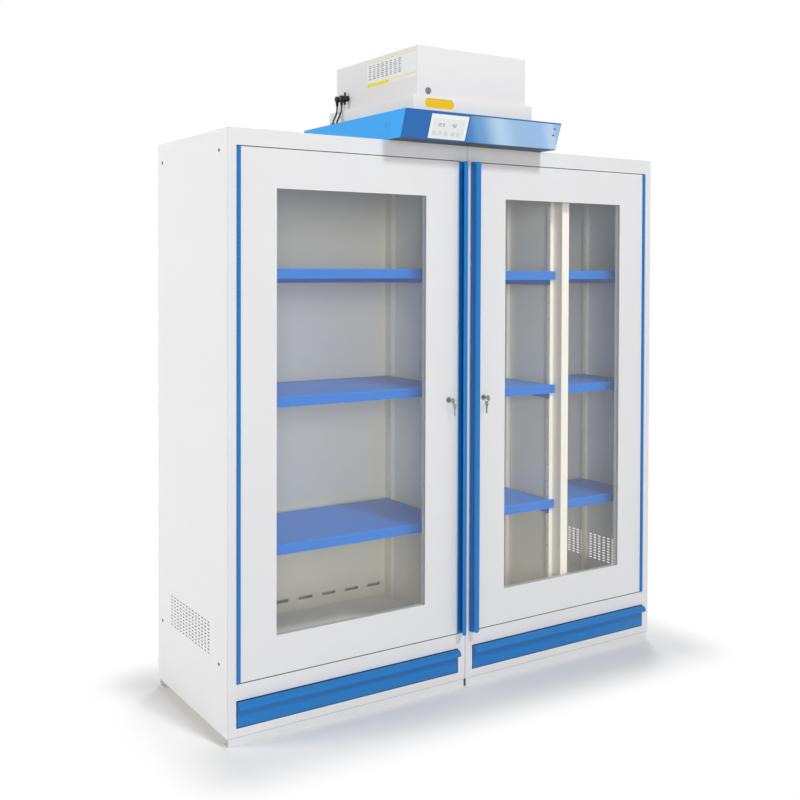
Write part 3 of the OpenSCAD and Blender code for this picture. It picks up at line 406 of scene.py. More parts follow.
finish = {
    "white": paint("whitePowder", (226, 226, 227)),
    # painted light: the inside's white is lighter and warmer than the outside's, to make up for the dim light
    # inside and the blue bounced from the shelves
    "inner": paint("innerLitPowder", (250, 244, 229)),
    "boxWhite": paint("boxPowder", (229, 227, 227)),
    # painted light: lighter and warmer than the fan box's white, to offset the blue light bounced from the
    # hood
    "filterLitWhite": paint("filterLitPowder", (238, 236, 231)),
    "liner": paint("linerPowder", (214, 214, 214), 0.45),
    "blue": paint("bluePowder", (10, 116, 190), 0.34, spread=0.04),
    "hoodFront": paint("hoodPowder", (12, 99, 172), 0.36, spread=0.04),
    # painted light: a lighter copy of the hood's blue for its lit ends, and a near-black grey as painted
    # shade under it
    "hoodLitSide": paint("hoodLitSidePowder", (34, 164, 242), 0.36, spread=0.04),
    "hoodUnderShade": paint("hoodUnderShadePowder", (38, 42, 50), 0.5),
    "shelf": paint("shelfPowder", (6, 130, 230), 0.38, spread=0.04),
    # painted sheen: the deck has the lip's powder, made greyer to stand for the sheen it shows at a grazing
    # angle
    "deck": paint("deckSheenPowder", (74, 124, 184), 0.5, spread=0.04),
    # painted shade: near-black blue inside the lip's fold, so that its holes read dark
    "nose": paint("noseShadePowder", (4, 18, 42), 0.6, spread=0.04),
    "zinc": metal("zincPlate", (186, 190, 196), 0.34, (1, 1, 1)),
    # painted shade: near-black metal on the walls of the joining holes, so that the holes read dark
    "holeShadeMetal": metal("holeShadeMetal", (34, 35, 38), 0.5, (1, 1, 1)),
    # painted shade: mid grey on the edges where the bays meet, as the shade in that seam
    "seam": paint("seamShadeEdge", (196, 196, 198), 0.5),
    # painted shade: dark grey and dark blue on the cut edges that face a gap, as the shade in the gaps
    "gapShadeGrey": paint("gapShadeGrey", (58, 59, 62), 0.6),
    "gapShadeBlue": paint("gapShadeBlue", (5, 24, 50), 0.6, spread=0.04),
    "chrome": metal("turnedChrome", (150, 154, 160), 0.16, (1, 0.05, 1)),
    "nickel": metal("nickelKey", (176, 172, 160), 0.24, (1, 1, 0.06)),
    "glass": paneGlass("paneGlass", glassSet),
    "gasket": moulded("gasketRubber", (196, 198, 200), 0.5, 700.0),
    "black": moulded("blackPlastic", (26, 27, 30), 0.38),
    "fascia": fasciaFadeAndSheen("fasciaLacquer", fasciaSet),
    "displayFace": moulded("displayFilm", (238, 238, 234), 0.28, 1600.0, 0.04, 0.02),
    "screen": moulded("screenGlass", (226, 230, 230), 0.12, 1800.0, 0.02, 0.03),
    "printGrey": moulded("printGrey", (84, 92, 102), 0.5, 1500.0, 0.04),
    "printRed": moulded("printRed", (206, 84, 90), 0.5, 1500.0, 0.04),
    "printGreen": moulded("printGreen", (86, 168, 108), 0.5, 1500.0, 0.04),
    "yellow": moulded("yellowPlate", (246, 200, 12), 0.3, 1200.0, 0.05, 0.04),
    "labelWhite": moulded("labelFilm", (238, 238, 238), 0.4, 1500.0, 0.04, 0.02),
    "labelYellow": moulded("labelYellow", (240, 226, 60), 0.4, 1500.0, 0.04, 0.03),
    "filter": moulded("filterMedia", (214, 208, 194), 0.8, 260.0, 0.5, 0.06),
}
print("finishes made:", len(finish))


# Mesh helpers

meshSet = {
    "weld": 1e-6,
    "seamWeld": 1e-5,
    "flatAngle": 0.6,
    "foldAngle": 35,
    "foldSteps": 2,
    "cornerPoints": 7,
    # the part of a face's normal past which it faces that way, and past which it does so squarely
    "mostly": 0.5,
    "square": 0.9,
}


def addObject(name, data):
    obj = bpy.data.objects.new(name, data)
    scene.collection.objects.link(obj)
    return obj


def addPiece(name, mesh, finishes, body, slotName, *replaced, pick=None):
    # pick tells which of the finishes a face has
    obj = addObject(name, mesh)
    mesh.materials.clear()
    for finishName in finishes:
        mesh.materials.append(finish[finishName])
    if pick:
        for face in mesh.polygons:
            face.material_index = int(pick(face))
    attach(obj, body)
    if replaced:
        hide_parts(*replaced)


def evaluated(obj):
    depsgraph = bpy.context.evaluated_depsgraph_get()
    mesh = bpy.data.meshes.new_from_object(obj.evaluated_get(depsgraph), depsgraph=depsgraph)
    bpy.data.objects.remove(obj)
    return mesh


def smoothed(mesh, angle=40):
    # wide faces stay flat and only the rounded edges shade round
    mesh.shade_smooth()
    mesh.set_sharp_from_angle(angle=math.radians(angle))
    obj = addObject("shading", mesh)
    weigh = obj.modifiers.new("weigh", "WEIGHTED_NORMAL")
    weigh.keep_sharp = True
    return evaluated(obj)


def joinFlat(bm):
    limit = math.radians(meshSet["flatAngle"])
    bmesh.ops.dissolve_limit(bm, angle_limit=limit, verts=bm.verts, edges=bm.edges)


def roundEdges(bm, width, shortest=0, steps=meshSet["foldSteps"]):
    bm.normal_update()
    sharp = [
        e for e in bm.edges
        if len(e.link_faces) == 2
        and e.calc_face_angle() > math.radians(meshSet["foldAngle"])
        and e.calc_length() > shortest * mm
    ]
    layer = bm.loops.layers.float.get("edge") or bm.loops.layers.float.new("edge")
    made = bmesh.ops.bevel(
        bm, geom=sharp, offset=width * mm, offset_type="OFFSET", segments=steps, profile=0.5,
        affect="EDGES", clamp_overlap=True,
    )
    for face in made["faces"]:
        for loop in face.loops:
            loop[layer] = 1.0
    bmesh.ops.dissolve_degenerate(bm, dist=meshSet["weld"], edges=bm.edges)


def toMesh(bm, name):
    mesh = bpy.data.meshes.new(name)
    bm.to_mesh(mesh)
    bm.free()
    return mesh


def softCopy(node, width, shortest, splitY=None, steps=meshSet["foldSteps"]):
    # a copy of the solid with its flat faces whole and its folds rounded, split where a finish ends
    bm = bmesh.new()
    bm.from_mesh(nodes[node].data)
    bmesh.ops.remove_doubles(bm, verts=bm.verts, dist=meshSet["seamWeld"])
    joinFlat(bm)
    if splitY is not None:
        whole = bm.verts[:] + bm.edges[:] + bm.faces[:]
        bmesh.ops.bisect_plane(bm, geom=whole, plane_co=atMiddle(0, splitY, 0), plane_no=rearward)
    roundEdges(bm, width, shortest, steps)
    return smoothed(toMesh(bm, node + "_skin"))


def boxMesh(name, corners, fold=0):
    # boxes between pairs of corners, with their edges rounded where a fold is given
    bm = bmesh.new()
    for low, high in corners:
        made = bmesh.ops.create_cube(bm, size=1)
        for v in made["verts"]:
            v.co = v.co * (high - low) + (low + high) / 2
    if fold:
        roundEdges(bm, fold)
    return toMesh(bm, name)


def joined(meshes, name):
    bm = bmesh.new()
    for mesh in meshes:
        bm.from_mesh(mesh)
    return toMesh(bm, name)


def placed(mesh, place):
    mesh.transform(place)
    return mesh


def facing(normal, top, origin):
    # local x and y lie in the sheet, y along top, and z comes out of it
    across = top.cross(normal)
    turn = Matrix((across, top, normal)).transposed().to_4x4()
    return Matrix.Translation(origin) @ turn


def ringPoints(x, y, radius, steps, start=0.0, sweep=2 * math.pi):
    closed = abs(sweep - 2 * math.pi) < meshSet["weld"]
    step = sweep / (steps if closed else steps - 1)
    angles = [start + step * i for i in range(steps)]
    return [(x + radius * math.cos(a), y + radius * math.sin(a)) for a in angles]


def rectangle(width, height):
    return [(x * width / 2, y * height / 2) for x, y in ((-1, -1), (1, -1), (1, 1), (-1, 1))]


def eased(radius, top, steps):
    # profile points given as steps inwards from the radius and down from the top
    return [(radius - inwards, top - down) for inwards, down in steps]


def lathe(profile, steps, name):
    # profile points are (radius, height along local z); ends on the axis close it
    bm = bmesh.new()
    rings = []
    for radius, height in profile:
        spots = ringPoints(0, 0, radius, steps) if radius else [(0, 0)]
        rings.append([bm.verts.new((x * mm, y * mm, height * mm)) for x, y in spots])
    for low, high in zip(rings, rings[1:]):
        for i in range(steps):
            j = (i + 1) % steps
            corners = [low[i % len(low)], low[j % len(low)], high[j % len(high)], high[i % len(high)]]
            bm.faces.new(list(dict.fromkeys(corners)))
    bmesh.ops.recalc_face_normals(bm, faces=bm.faces)
    bmesh.ops.remove_doubles(bm, verts=bm.verts, dist=meshSet["weld"])
    return toMesh(bm, name)


def drawLoops(bm, loops):
    edges = []
    for points in loops:
        verts = [bm.verts.new((x * mm, y * mm, 0)) for x, y in points]
        edges += [bm.edges.new(pair) for pair in zip(verts, verts[1:] + verts[:1])]
    return edges


def plate(outline, holes, thick):
    # a flat plate of the outline, with holes, from local z 0 to thick
    bm = bmesh.new()
    bmesh.ops.triangle_fill(bm, use_beauty=True, use_dissolve=False, edges=drawLoops(bm, [outline] + holes))
    front = bmesh.ops.extrude_face_region(bm, geom=list(bm.faces), use_keep_orig=True)
    moved = [g for g in front["geom"] if isinstance(g, bmesh.types.BMVert)]
    bmesh.ops.translate(bm, verts=moved, vec=(0, 0, thick * mm))
    bmesh.ops.recalc_face_normals(bm, faces=bm.faces)
    return bm


def roundedPlate(width, height, radius, thick):
    outline = []
    for i, (cx, cy) in enumerate(((1, 1), (-1, 1), (-1, -1), (1, -1))):
        x, y = cx * (width / 2 - radius), cy * (height / 2 - radius)
        outline += ringPoints(x, y, radius, meshSet["cornerPoints"], i * math.pi / 2, math.pi / 2)
    return toMesh(plate(outline, [], thick), "plate")


# Geometry Nodes

gridInputs = [
    ("Geometry", "Geometry", None),
    ("Columns", "Int", 2),
    ("Rows", "Int", 2),
    ("Column Step", "Float", 0.01),
    ("Row Step", "Float", 0.01),
    ("Stagger", "Float", 0.0),
    ("Centre", "Vector", (0.0, 0.0, 0.0)),
]


def growthTree(name, inputs):
    inputs = gridInputs + inputs + [("Material", "Material", None)]
    return newTree(name, "GeometryNodeTree", inputs, "Geometry", ["Geometry"])


def gridPoints(tree, into):
    # points in columns and rows, every second column shifted by half the stagger
    wide = times(tree, minus(tree, into["Columns"], 1), into["Column Step"])
    high = times(tree, minus(tree, into["Rows"], 1), into["Row Step"])
    grid = addNode(tree, "GeometryNodeMeshGrid", {
        "Size X": wide, "Size Y": high, "Vertices X": into["Columns"], "Vertices Y": into["Rows"],
    })
    apart = addNode(tree, "ShaderNodeSeparateXYZ", {0: addNode(tree, "GeometryNodeInputPosition")})
    fromEdge = plus(tree, apart.outputs["X"], times(tree, wide, 0.5))
    column = mathNode(tree, "ROUND", mathNode(tree, "DIVIDE", fromEdge, into["Column Step"]))
    odd = minus(tree, mathNode(tree, "MODULO", column, 2), 0.5)
    shift = vectorOf(tree, 0.0, times(tree, odd, into["Stagger"]))
    offset = addNode(tree, "ShaderNodeVectorMath", {0: shift, 1: into["Centre"]}, operation="ADD")
    return addNode(tree, "GeometryNodeSetPosition", {"Geometry": grid, "Offset": offset})


def onGrid(tree, into, instance, inputs=None):
    values = {"Points": gridPoints(tree, into), "Instance": instance, **(inputs or {})}
    return addNode(tree, "GeometryNodeInstanceOnPoints", values)


def together(tree, *geometries):
    node = addNode(tree, "GeometryNodeJoinGeometry")
    for geometry in geometries:
        feed(tree, geometry, node.inputs[0])
    return node


def finishTree(tree, geometry, into, out):
    real = addNode(tree, "GeometryNodeRealizeInstances", {0: geometry})
    colour = addNode(tree, "GeometryNodeSetMaterial", {"Geometry": real, "Material": into["Material"]})
    feed(tree, colour, out["Geometry"])
    return tree


def makePerforatedSheet():
    # the outline with a field of round-ended holes, filled and given its thickness
    tree, into, out = growthTree("perforatedSheet", [
        ("Hole Length", "Float", 0.005),
        ("Hole Height", "Float", 0.005),
        ("Hole Points", "Int", 8),
        ("Thickness", "Float", 0.002),
    ])
    index = plus(tree, addNode(tree, "GeometryNodeInputIndex"), 0.5)
    angle = times(tree, mathNode(tree, "DIVIDE", index, into["Hole Points"]), 2 * math.pi)
    radius = times(tree, into["Hole Height"], 0.5)
    cosine = mathNode(tree, "COSINE", angle)
    run = times(tree, minus(tree, into["Hole Length"], into["Hole Height"]), 0.5)
    x = plus(tree, times(tree, cosine, radius), times(tree, mathNode(tree, "SIGN", cosine), run))
    y = times(tree, mathNode(tree, "SINE", angle), radius)
    circle = addNode(tree, "GeometryNodeCurvePrimitiveCircle", {"Resolution": into["Hole Points"]})
    hole = addNode(tree, "GeometryNodeSetPosition", {"Geometry": circle, "Position": vectorOf(tree, x, y)})
    holes = addNode(tree, "GeometryNodeRealizeInstances", {0: onGrid(tree, into, hole)})
    edge = addNode(tree, "GeometryNodeMeshToCurve", {0: into["Geometry"]})
    fill = addNode(tree, "GeometryNodeFillCurve", {0: together(tree, edge, holes)}, mode="TRIANGLES")
    extrude = addNode(tree, "GeometryNodeExtrudeMesh", {
        "Mesh": fill, "Offset Scale": into["Thickness"], "Individual": False,
    }, mode="FACES")
    closed = together(tree, extrude, addNode(tree, "GeometryNodeFlipFaces", {0: fill}))
    weld = addNode(tree, "GeometryNodeMergeByDistance", {0: closed, "Distance": meshSet["weld"]})
    return finishTree(tree, weld, into, out)


def makePrintedRows(shortest=0.45):
    # rows of small bars of uneven length, like a filled-in form with nothing to read
    tree, into, out = growthTree("printedRows", [
        ("Bar Length", "Float", 0.02),
        ("Bar Height", "Float", 0.003),
        ("Thickness", "Float", 0.0001),
        ("Seed", "Int", 4),
    ])
    size = vectorOf(tree, into["Bar Length"], into["Bar Height"], into["Thickness"])
    bar = addNode(tree, "GeometryNodeMeshCube", {"Size": size})
    length = addNode(tree, "FunctionNodeRandomValue", {"Seed": into["Seed"]}, data_type="FLOAT")
    ends = [s for s in length.inputs if s.type == "VALUE"]
    feedAll(tree, ends, {0: shortest, 1: 1.0})
    value = [s for s in length.outputs if s.type == "VALUE"][0]
    rows = onGrid(tree, into, bar, {"Scale": vectorOf(tree, value, 1.0, 1.0)})
    return finishTree(tree, rows, into, out)


def makeScrewHeads(crossLong=1.2, crossThin=0.28):
    # flat heads with a cross recess, on the points of a grid
    tree, into, out = growthTree("screwHeads", [
        ("Radius", "Float", 0.004),
        ("Head", "Float", 0.0012),
    ])
    head = addNode(tree, "GeometryNodeMeshCylinder", {
        "Vertices": 16, "Radius": into["Radius"], "Depth": into["Head"],
    }, fill_type="NGON")
    long = times(tree, into["Radius"], crossLong)
    thin = times(tree, into["Radius"], crossThin)
    lift = vectorOf(tree, 0.0, 0.0, times(tree, into["Head"], 0.5))
    cut = addNode(tree, "GeometryNodeMeshBoolean", {"Mesh 1": head}, operation="DIFFERENCE", solver="EXACT")
    for x, y in ((long, thin), (thin, long)):
        bar = addNode(tree, "GeometryNodeMeshCube", {"Size": vectorOf(tree, x, y, into["Head"])})
        lifted = addNode(tree, "GeometryNodeSetPosition", {"Geometry": bar, "Offset": lift})
        feed(tree, lifted, cut.inputs["Mesh 2"])
    return finishTree(tree, onGrid(tree, into, cut), into, out)


perforatedSheet = makePerforatedSheet()
printedRows = makePrintedRows()
screwHeads = makeScrewHeads()


def grown(tree, mesh, values):
    # runs a tree on the mesh, with lengths in millimetres, and gives a plain mesh
    obj = addObject("growing", mesh)
    modifier = obj.modifiers.new("shape", "NODES")
    modifier.node_group = tree
    for item in tree.interface.items_tree:
        if item.item_type != "SOCKET" or item.in_out != "INPUT" or item.name not in values:
            continue
        value = values[item.name]
        if item.socket_type == "NodeSocketFloat":
            value = value * mm
        if item.socket_type == "NodeSocketVector":
            value = [v * mm for v in value]
        modifier[item.identifier] = value
    return evaluated(obj)


def field(counts, steps):
    return {"Columns": counts[0], "Rows": counts[1], "Column Step": steps[0], "Row Step": steps[1]}


def sheetMesh(size, thick, finishName, grid, hole, points, rings=(), more=None):
    # a sheet with a grid of holes, each as long and as high as hole says, and with single rings
    bm = bmesh.new()
    drawLoops(bm, [rectangle(*size), *rings])
    return grown(perforatedSheet, toMesh(bm, "outline"), {
        **grid, **(more or {}), "Hole Length": hole[0], "Hole Height": hole[1], "Hole Points": points,
        "Thickness": thick, "Material": finish[finishName],
    })


print("node trees made")


# Link leads of the filter unit

leadSet = {
    "radius": 3.2,
    "starts": [(-273, 449.5, 2177), (-273, 484.5, 2177)],
    "ends": [(-292, 454, 2104), (-316, 440, 2104)],
    # share of the way outwards, and of the way down
    "way": [(0, 0), (0.03, 0.18), (0.14, 0.35), (0.36, 0.53), (0.66, 0.7), (0.91, 0.85), (1, 1)],
    "between": 4,
    "roundness": 4,
}


def smoothRoute(points, between):
    # a curve through the points that starts and ends straight down
    ends = [points[0] + (points[0] - points[1]), points[-1] + (points[-1] - points[-2])]
    padded = [ends[0]] + points + [ends[1]]
    route = []
    for a, b, c, d in zip(padded, padded[1:], padded[2:], padded[3:]):
        for i in range(between):
            t = i / between
            route.append(0.5 * (2 * b + (c - a) * t + (2 * a - 5 * b + 4 * c - d) * t ** 2
                                + (3 * b - a - 3 * c + d) * t ** 3))
    return route + [points[-1]]


def makeLead(name, start, end, s):
    start, end = Vector(start), Vector(end)
    way = end - start
    points = [atMiddle(*(start + Vector((way.x * a, way.y * a, way.z * b)))) for a, b in s["way"]]
    route = smoothRoute(points, s["between"])
    curve = bpy.data.curves.new(name, "CURVE")
    curve.dimensions = "3D"
    curve.bevel_depth = s["radius"] * mm
    curve.bevel_resolution = s["roundness"]
    curve.use_fill_caps = True
    spline = curve.splines.new("POLY")
    spline.points.add(len(route) - 1)
    for point, place in zip(spline.points, route):
        point.co = (*place, 1)
    spline.use_smooth = True
    lead = addObject(name, curve)
    curve.materials.append(finish["black"])
    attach(lead, "cabinet")
    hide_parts("link_leads")
    length = sum((b - a).length for a, b in zip(route, route[1:]))
    return length


leadLengths = [
    makeLead(f"link_lead_{i + 1}", leadSet["starts"][i], leadSet["ends"][i], leadSet) for i in range(2)
]
print("link leads:", [round(x, 4) for x in leadLengths])


# Carcass: folded and painted sheet

sidePanel = {
    "vents": (13, 10),
    "ventSteps": (27.6, 11.4),
    "vent": (17.0, 4.5),
    "ventPoints": 12,
    "ventY": 317.1,
    "ventZ": 317.05,
    "jointY": (65, 576),
    "jointZ": (255, 1927),
    "jointRadius": 6,
    "jointPoints": 28,
    "fold": 0.6,
    "longEdge": 100,
}


def makeOuterSide(word, side, s):
    name = word + "_outer_side"
    high = bay["high"] - bay["low"]
    midY = bay["depth"] / 2
    midZ = bay["low"] + high / 2
    joints = [(y, z) for y in s["jointY"] for z in s["jointZ"]]
    rings = [ringPoints(side * (y - midY), z - midZ, s["jointRadius"], s["jointPoints"]) for y, z in joints]
    grid = field(s["vents"], s["ventSteps"])
    middle = {"Centre": (side * (s["ventY"] - midY), s["ventZ"] - midZ, 0)}
    size = (bay["depth"], high)
    mesh = sheetMesh(size, bay["sheet"], "white", grid, s["vent"], s["ventPoints"], rings, middle)
    mesh.transform(facing(Vector((side, 0, 0)), up, atBay(side, bay["sheet"], midY, midZ)))
    bm = bmesh.new()
    bm.from_mesh(mesh)
    joinFlat(bm)
    roundEdges(bm, s["fold"], s["longEdge"])
    spots = [atBay(side, 0, y, z) for y, z in joints]
    reach = (s["jointRadius"] + bay["sheet"]) * mm

    def isHoleShade(face):
        # painted shade: the walls of the joining holes get a near-black metal, so that the holes read dark
        near = any((face.center - spot).length < reach for spot in spots)
        return near and abs(face.normal.x) < meshSet["mostly"]

    panel = smoothed(toMesh(bm, name))
    addPiece(name + "_panel", panel, ["white", "holeShadeMetal"], "cabinet", "white_paint", name, pick=isHoleShade)


for word, side in bothSides.items():
    makeOuterSide(word, side, sidePanel)

backPanel = {
    "low": 32,
    "high": 1993,
    "rim": 14,
    "columns": 5,
    "rows": 9,
    "head": 3.8,
    "headHigh": 1.2,
    "bore": 4.2,
    "borePoints": 16,
    "sunk": 0.3,
}


def makeBackPanels(s):
    wide = bay["width"] - 2 * bay["sheet"]
    high = s["high"] - s["low"]
    span = wide - 2 * s["rim"]
    rise = high - 2 * s["rim"]
    step = span / (s["columns"] - 1)
    sides = field((2, s["rows"]), (span, rise / (s["rows"] - 1)))
    ends = field((s["columns"] - 2, 2), (step, rise))
    across = [i * step - span / 2 for i in range(1, s["columns"] - 1)]
    rings = [ringPoints(x, y, s["bore"], s["borePoints"]) for x in across for y in (-rise / 2, rise / 2)]
    heads = {"Radius": s["head"], "Head": s["headHigh"], "Material": finish["zinc"]}
    bore = (2 * s["bore"], 2 * s["bore"])
    lift = Matrix.Translation(rearward * (bay["sheet"] - s["sunk"] - s["headHigh"] / 2) * mm)
    panels, screws = [], []
    for side in bothSides.values():
        spot = atBay(side, bay["width"] / 2, bay["depth"] - bay["sheet"], s["low"] + high / 2)
        place = facing(rearward, up, spot)
        panel = sheetMesh((wide, high), bay["sheet"], "white", sides, bore, s["borePoints"], rings)
        panels.append(placed(panel, place))
        for grid in (sides, ends):
            row = grown(screwHeads, bpy.data.meshes.new("rim"), {**grid, **heads})
            screws.append(placed(row, lift @ place))
    sheets = smoothed(joined(panels, "back"))
    addPiece("back_panel_sheets", sheets, ["white"], "cabinet", "white_paint", "back_panels")
    addPiece("back_panel_screws", joined(screws, "screws"), ["zinc"], "cabinet", "steel")


makeBackPanels(backPanel)

skinSet = {
    # node: (width of the rounded fold, finish, body, slot, shortest edge that is rounded)
    # names that start with an underscore are made for the left and the right
    "roof_panels": (0.8, "white", "cabinet", "white_paint", 30),
    "partition": (0.9, "inner", "cabinet", "white_paint", 10),
    "_door": (0.7, "white", "_door", "white_paint", 20),
    "_door_liner": (0.5, "liner", "_door", "white_paint", 20),
    "_gasket": (0.6, "gasket", "_door", "gasket_rubber", 20),
    "_handle": (0.45, "blue", "_door", "blue_paint", 0),
    "_drawer_tray": (0.5, "white", "_drawer", "white_paint", 10),
    "filter_box": (0.9, "filterLitWhite", "cabinet", "white_paint", 20),
    "fan_box": (0.9, "boxWhite", "cabinet", "white_paint", 20),
    "type_plate": (0.25, "yellow", "cabinet", "yellow_plate", 0),
    "fascia_plate": (0.5, "fascia", "cabinet", "fascia_metal", 0),
    "display": (0.5, "displayFace", "cabinet", "display_face", 0),
    "filter_cassette": (2.0, "filter", "cabinet", "filter_media", 20),
    "mains_inlet": (0.5, "black", "cabinet", "black_plastic", 5),
}


def sidesOf(node):
    return bothSides if node.startswith("_") else [""]


for ending, (width, finishName, body, slotName, shortest) in skinSet.items():
    for word in sidesOf(ending):
        node = word + ending
        addPiece(node + "_skin", softCopy(node, width, shortest), [finishName], word + body, slotName, node)
print("sheet skins made")


# Sheets with painted shade where they face a gap: the cut edges are painted dark behind the front, as the
# shade in the gaps

gapSet = {
    "deep": 8,
    "frameFold": 0.9,
    "frontFold": 0.45,
    "sideFold": 0.3,
    "sideSteps": 1,
    "railFold": 2.5,
    "railRise": 0.3,
    "railShort": 10,
    "long": 60,
}


def behind(face, y):
    # how far back of y the face lies
    return face.center.y - atMiddle(0, y, 0).y


def isCutEdge(face):
    return abs(face.normal.y) < meshSet["mostly"]


def makeFrontFrame(word, s):
    node = word + "_front_frame"
    mesh = softCopy(node, s["frameFold"], s["long"], s["deep"])
    # painted shade: the first 8 mm of the opening's cut edges are dark grey, as the shade in the gap
    addPiece(node + "_skin", mesh, ["white", "gapShadeGrey"], "cabinet", "white_paint", node,
             pick=lambda face: isCutEdge(face) and behind(face, s["deep"]) < 0)


def makeDrawerFront(word, s):
    node = word + "_drawer_front"
    mesh = softCopy(node, s["frontFold"], 0, 0)
    # painted shade: the cut edges behind the front plane are dark blue, as the shade in the gap
    addPiece(node + "_skin", mesh, ["blue", "gapShadeBlue"], word + "_drawer", "blue_paint", node,
             pick=lambda face: isCutEdge(face) and behind(face, 0) > 0)


def makeInnerSides(s):
    # the front edges of these sheets are the line where the bays meet, painted a mid grey as the shade in
    # that seam
    mesh = softCopy("inner_sides", s["sideFold"], s["long"], steps=s["sideSteps"])
    addPiece("inner_side_sheets", mesh, ["inner", "seam"], "cabinet", "white_paint", "inner_sides",
             pick=lambda face: face.normal.y < -meshSet["mostly"])


def makePlinth(s):
    mesh = softCopy("plinth_rails", s["railFold"], s["railShort"])
    middle = bay["low"] * mm / 2
    # painted shade: the top of the rails is dark grey, as the shadow line under the frame
    addPiece("plinth_rails_skin", mesh, ["white", "gapShadeGrey"], "cabinet", "white_paint", "plinth_rails",
             pick=lambda face: face.normal.z > s["railRise"] and face.center.z > middle)


for word in bothSides:
    makeFrontFrame(word, gapSet)
    makeDrawerFront(word, gapSet)
makeInnerSides(gapSet)
makePlinth(gapSet)
print("gap edges made")


# Hood: the front and top in one blue; the ends get a lighter copy of it as painted light, and the faces below
# a near-black grey as painted shade

hoodSet = {"fold": 1.0, "shortest": 20}


# painted light: faces across x get the lit blue, and faces turned down get the painted shade
def hoodLightAndShade(face):
    if abs(face.normal.x) > meshSet["square"]:
        return 1
    return 2 if face.normal.z < -meshSet["square"] else 0


hoodMesh = softCopy("hood", hoodSet["fold"], hoodSet["shortest"])
hoodLitAndShaded = ["hoodFront", "hoodLitSide", "hoodUnderShade"]
addPiece("hood_skin", hoodMesh, hoodLitAndShaded, "cabinet", "bright_blue_paint", "hood", pick=hoodLightAndShade)


# Shelves: a perforated front lip, a rounded fold, the deck and its flanges

shelfSet = {
    "front": 78,
    "lip": 34,
    "flange": 55,
    "sheet": 1.5,
    "fold": 2.5,
    "foldSteps": 6,
    "nose": 9,
    "gap": 1.5,
    "upright": 18,
    "hole": 5.8,
    "holePoints": 10,
    "columnStep": 8.4,
    "rowStep": 9.6,
    "rows": 3,
    "margin": 7,
    # node: (bay side, wall u, wall u, rear edge, tops)
    "groups": {
        "left_shelves": (-1, 2, 948, 509, (610, 1110, 1545)),
        "right_inner_shelves": (1, 452, 948, 389, (624, 1085, 1537)),
        "right_outer_shelves": (1, 2, 416, 389, (612, 1079, 1540)),
    },
}


def roundFold(x0, x1, y0, z1, s):
    # the bend between lip and deck, swept along x
    bm = bmesh.new()
    radius = s["fold"] * mm
    angles = [math.pi / 2 * i / s["foldSteps"] for i in range(s["foldSteps"] + 1)]
    rows = []
    for r, way in ((radius, angles), (radius - s["sheet"] * mm, angles[::-1])):
        rows += [(y0 + radius - r * math.cos(a), z1 - radius + r * math.sin(a)) for a in way]
    ends = [[bm.verts.new((x, y, z)) for y, z in rows] for x in (x0, x1)]
    for i in range(len(rows)):
        j = (i + 1) % len(rows)
        bm.faces.new((ends[0][i], ends[0][j], ends[1][j], ends[1][i]))
    bm.faces.new(ends[0])
    bm.faces.new(ends[1][::-1])
    bmesh.ops.recalc_face_normals(bm, faces=bm.faces)
    return toMesh(bm, "fold")


def makeShelf(side, u0, u1, rear, top, s):
    def across(inset):
        return sorted(atBay(side, u, 0, 0).x for u in (u0 + inset, u1 - inset))

    t = s["sheet"] * mm
    x0, x1 = across(s["gap"])
    d0, d1 = across(s["upright"] + s["gap"])
    front = atMiddle(0, s["front"], 0).y
    back = atMiddle(0, rear, 0).y
    noseEnd = front + s["nose"] * mm
    wide = (x1 - x0) / mm
    high = s["lip"] - s["fold"]
    columns = int((wide - 2 * s["margin"]) / s["columnStep"]) + 1
    grid = field((columns, s["rows"]), (s["columnStep"], s["rowStep"]))
    lip = sheetMesh((wide, high), s["sheet"], "shelf", grid, (s["hole"], s["hole"]), s["holePoints"],
                    more={"Stagger": s["rowStep"] / 2})
    middle = Vector(((x0 + x1) / 2, front + t, (top - s["fold"] - high / 2) * mm))
    lip.transform(facing(forward, up, middle))
    z0 = (top - s["flange"]) * mm
    z1 = top * mm - t
    deck = boxMesh("deck", [
        (Vector((d0, front + s["fold"] * mm, z1)), Vector((d1, back, top * mm))),
        (Vector((d0, back - t, z0)), Vector((d1, back, z1))),
        *[(Vector((x, noseEnd, z0)), Vector((x + t, back - t, z1))) for x in (d0, d1 - t)],
    ])
    for face in deck.polygons:
        face.material_index = 1
    # the lip folds back below and up to the deck; the faces behind the holes get a near-black blue as painted
    # shade
    low = (top - s["lip"]) * mm
    nose = boxMesh("nose", [
        (Vector((x0, front + t, low)), Vector((x1, noseEnd - t, low + t))),
        (Vector((x0, noseEnd - t, low)), Vector((x1, noseEnd, z1))),
    ])
    for face in nose.polygons:
        dark = face.normal.z > meshSet["square"] or face.normal.y < -meshSet["square"]
        face.material_index = 2 if dark else 0
    return [lip, roundFold(x0, x1, front, top * mm, s), deck, nose]


for node, (side, u0, u1, rear, tops) in shelfSet["groups"].items():
    parts = [m for top in tops for m in makeShelf(side, u0, u1, rear, top, shelfSet)]
    shelves = smoothed(joined(parts, node))
    addPiece(node + "_sheet", shelves, ["shelf", "deck", "nose"], "cabinet", "bright_blue_paint", node)
print("shelves made:", len(shelfSet["groups"]))


# Shelf uprights with their hook holes

uprightSet = {
    "width": 18,
    "wall": 1.5,
    "low": 202,
    "high": 1903,
    "holes": 26,
    "pitch": 65,
    "slot": (11.0, 4.5),
    "slotPoints": 10,
    # bay side, wall u, direction into the compartment along u, front and rear y
    "places": [
        (-1, 2, 1, (90, 485)),
        (-1, 948, -1, (90, 485)),
        (1, 2, 1, (90, 365)),
        (1, 416, -1, (90, 365)),
        (1, 452, 1, (90, 365)),
        (1, 948, -1, (90, 365)),
    ],
}


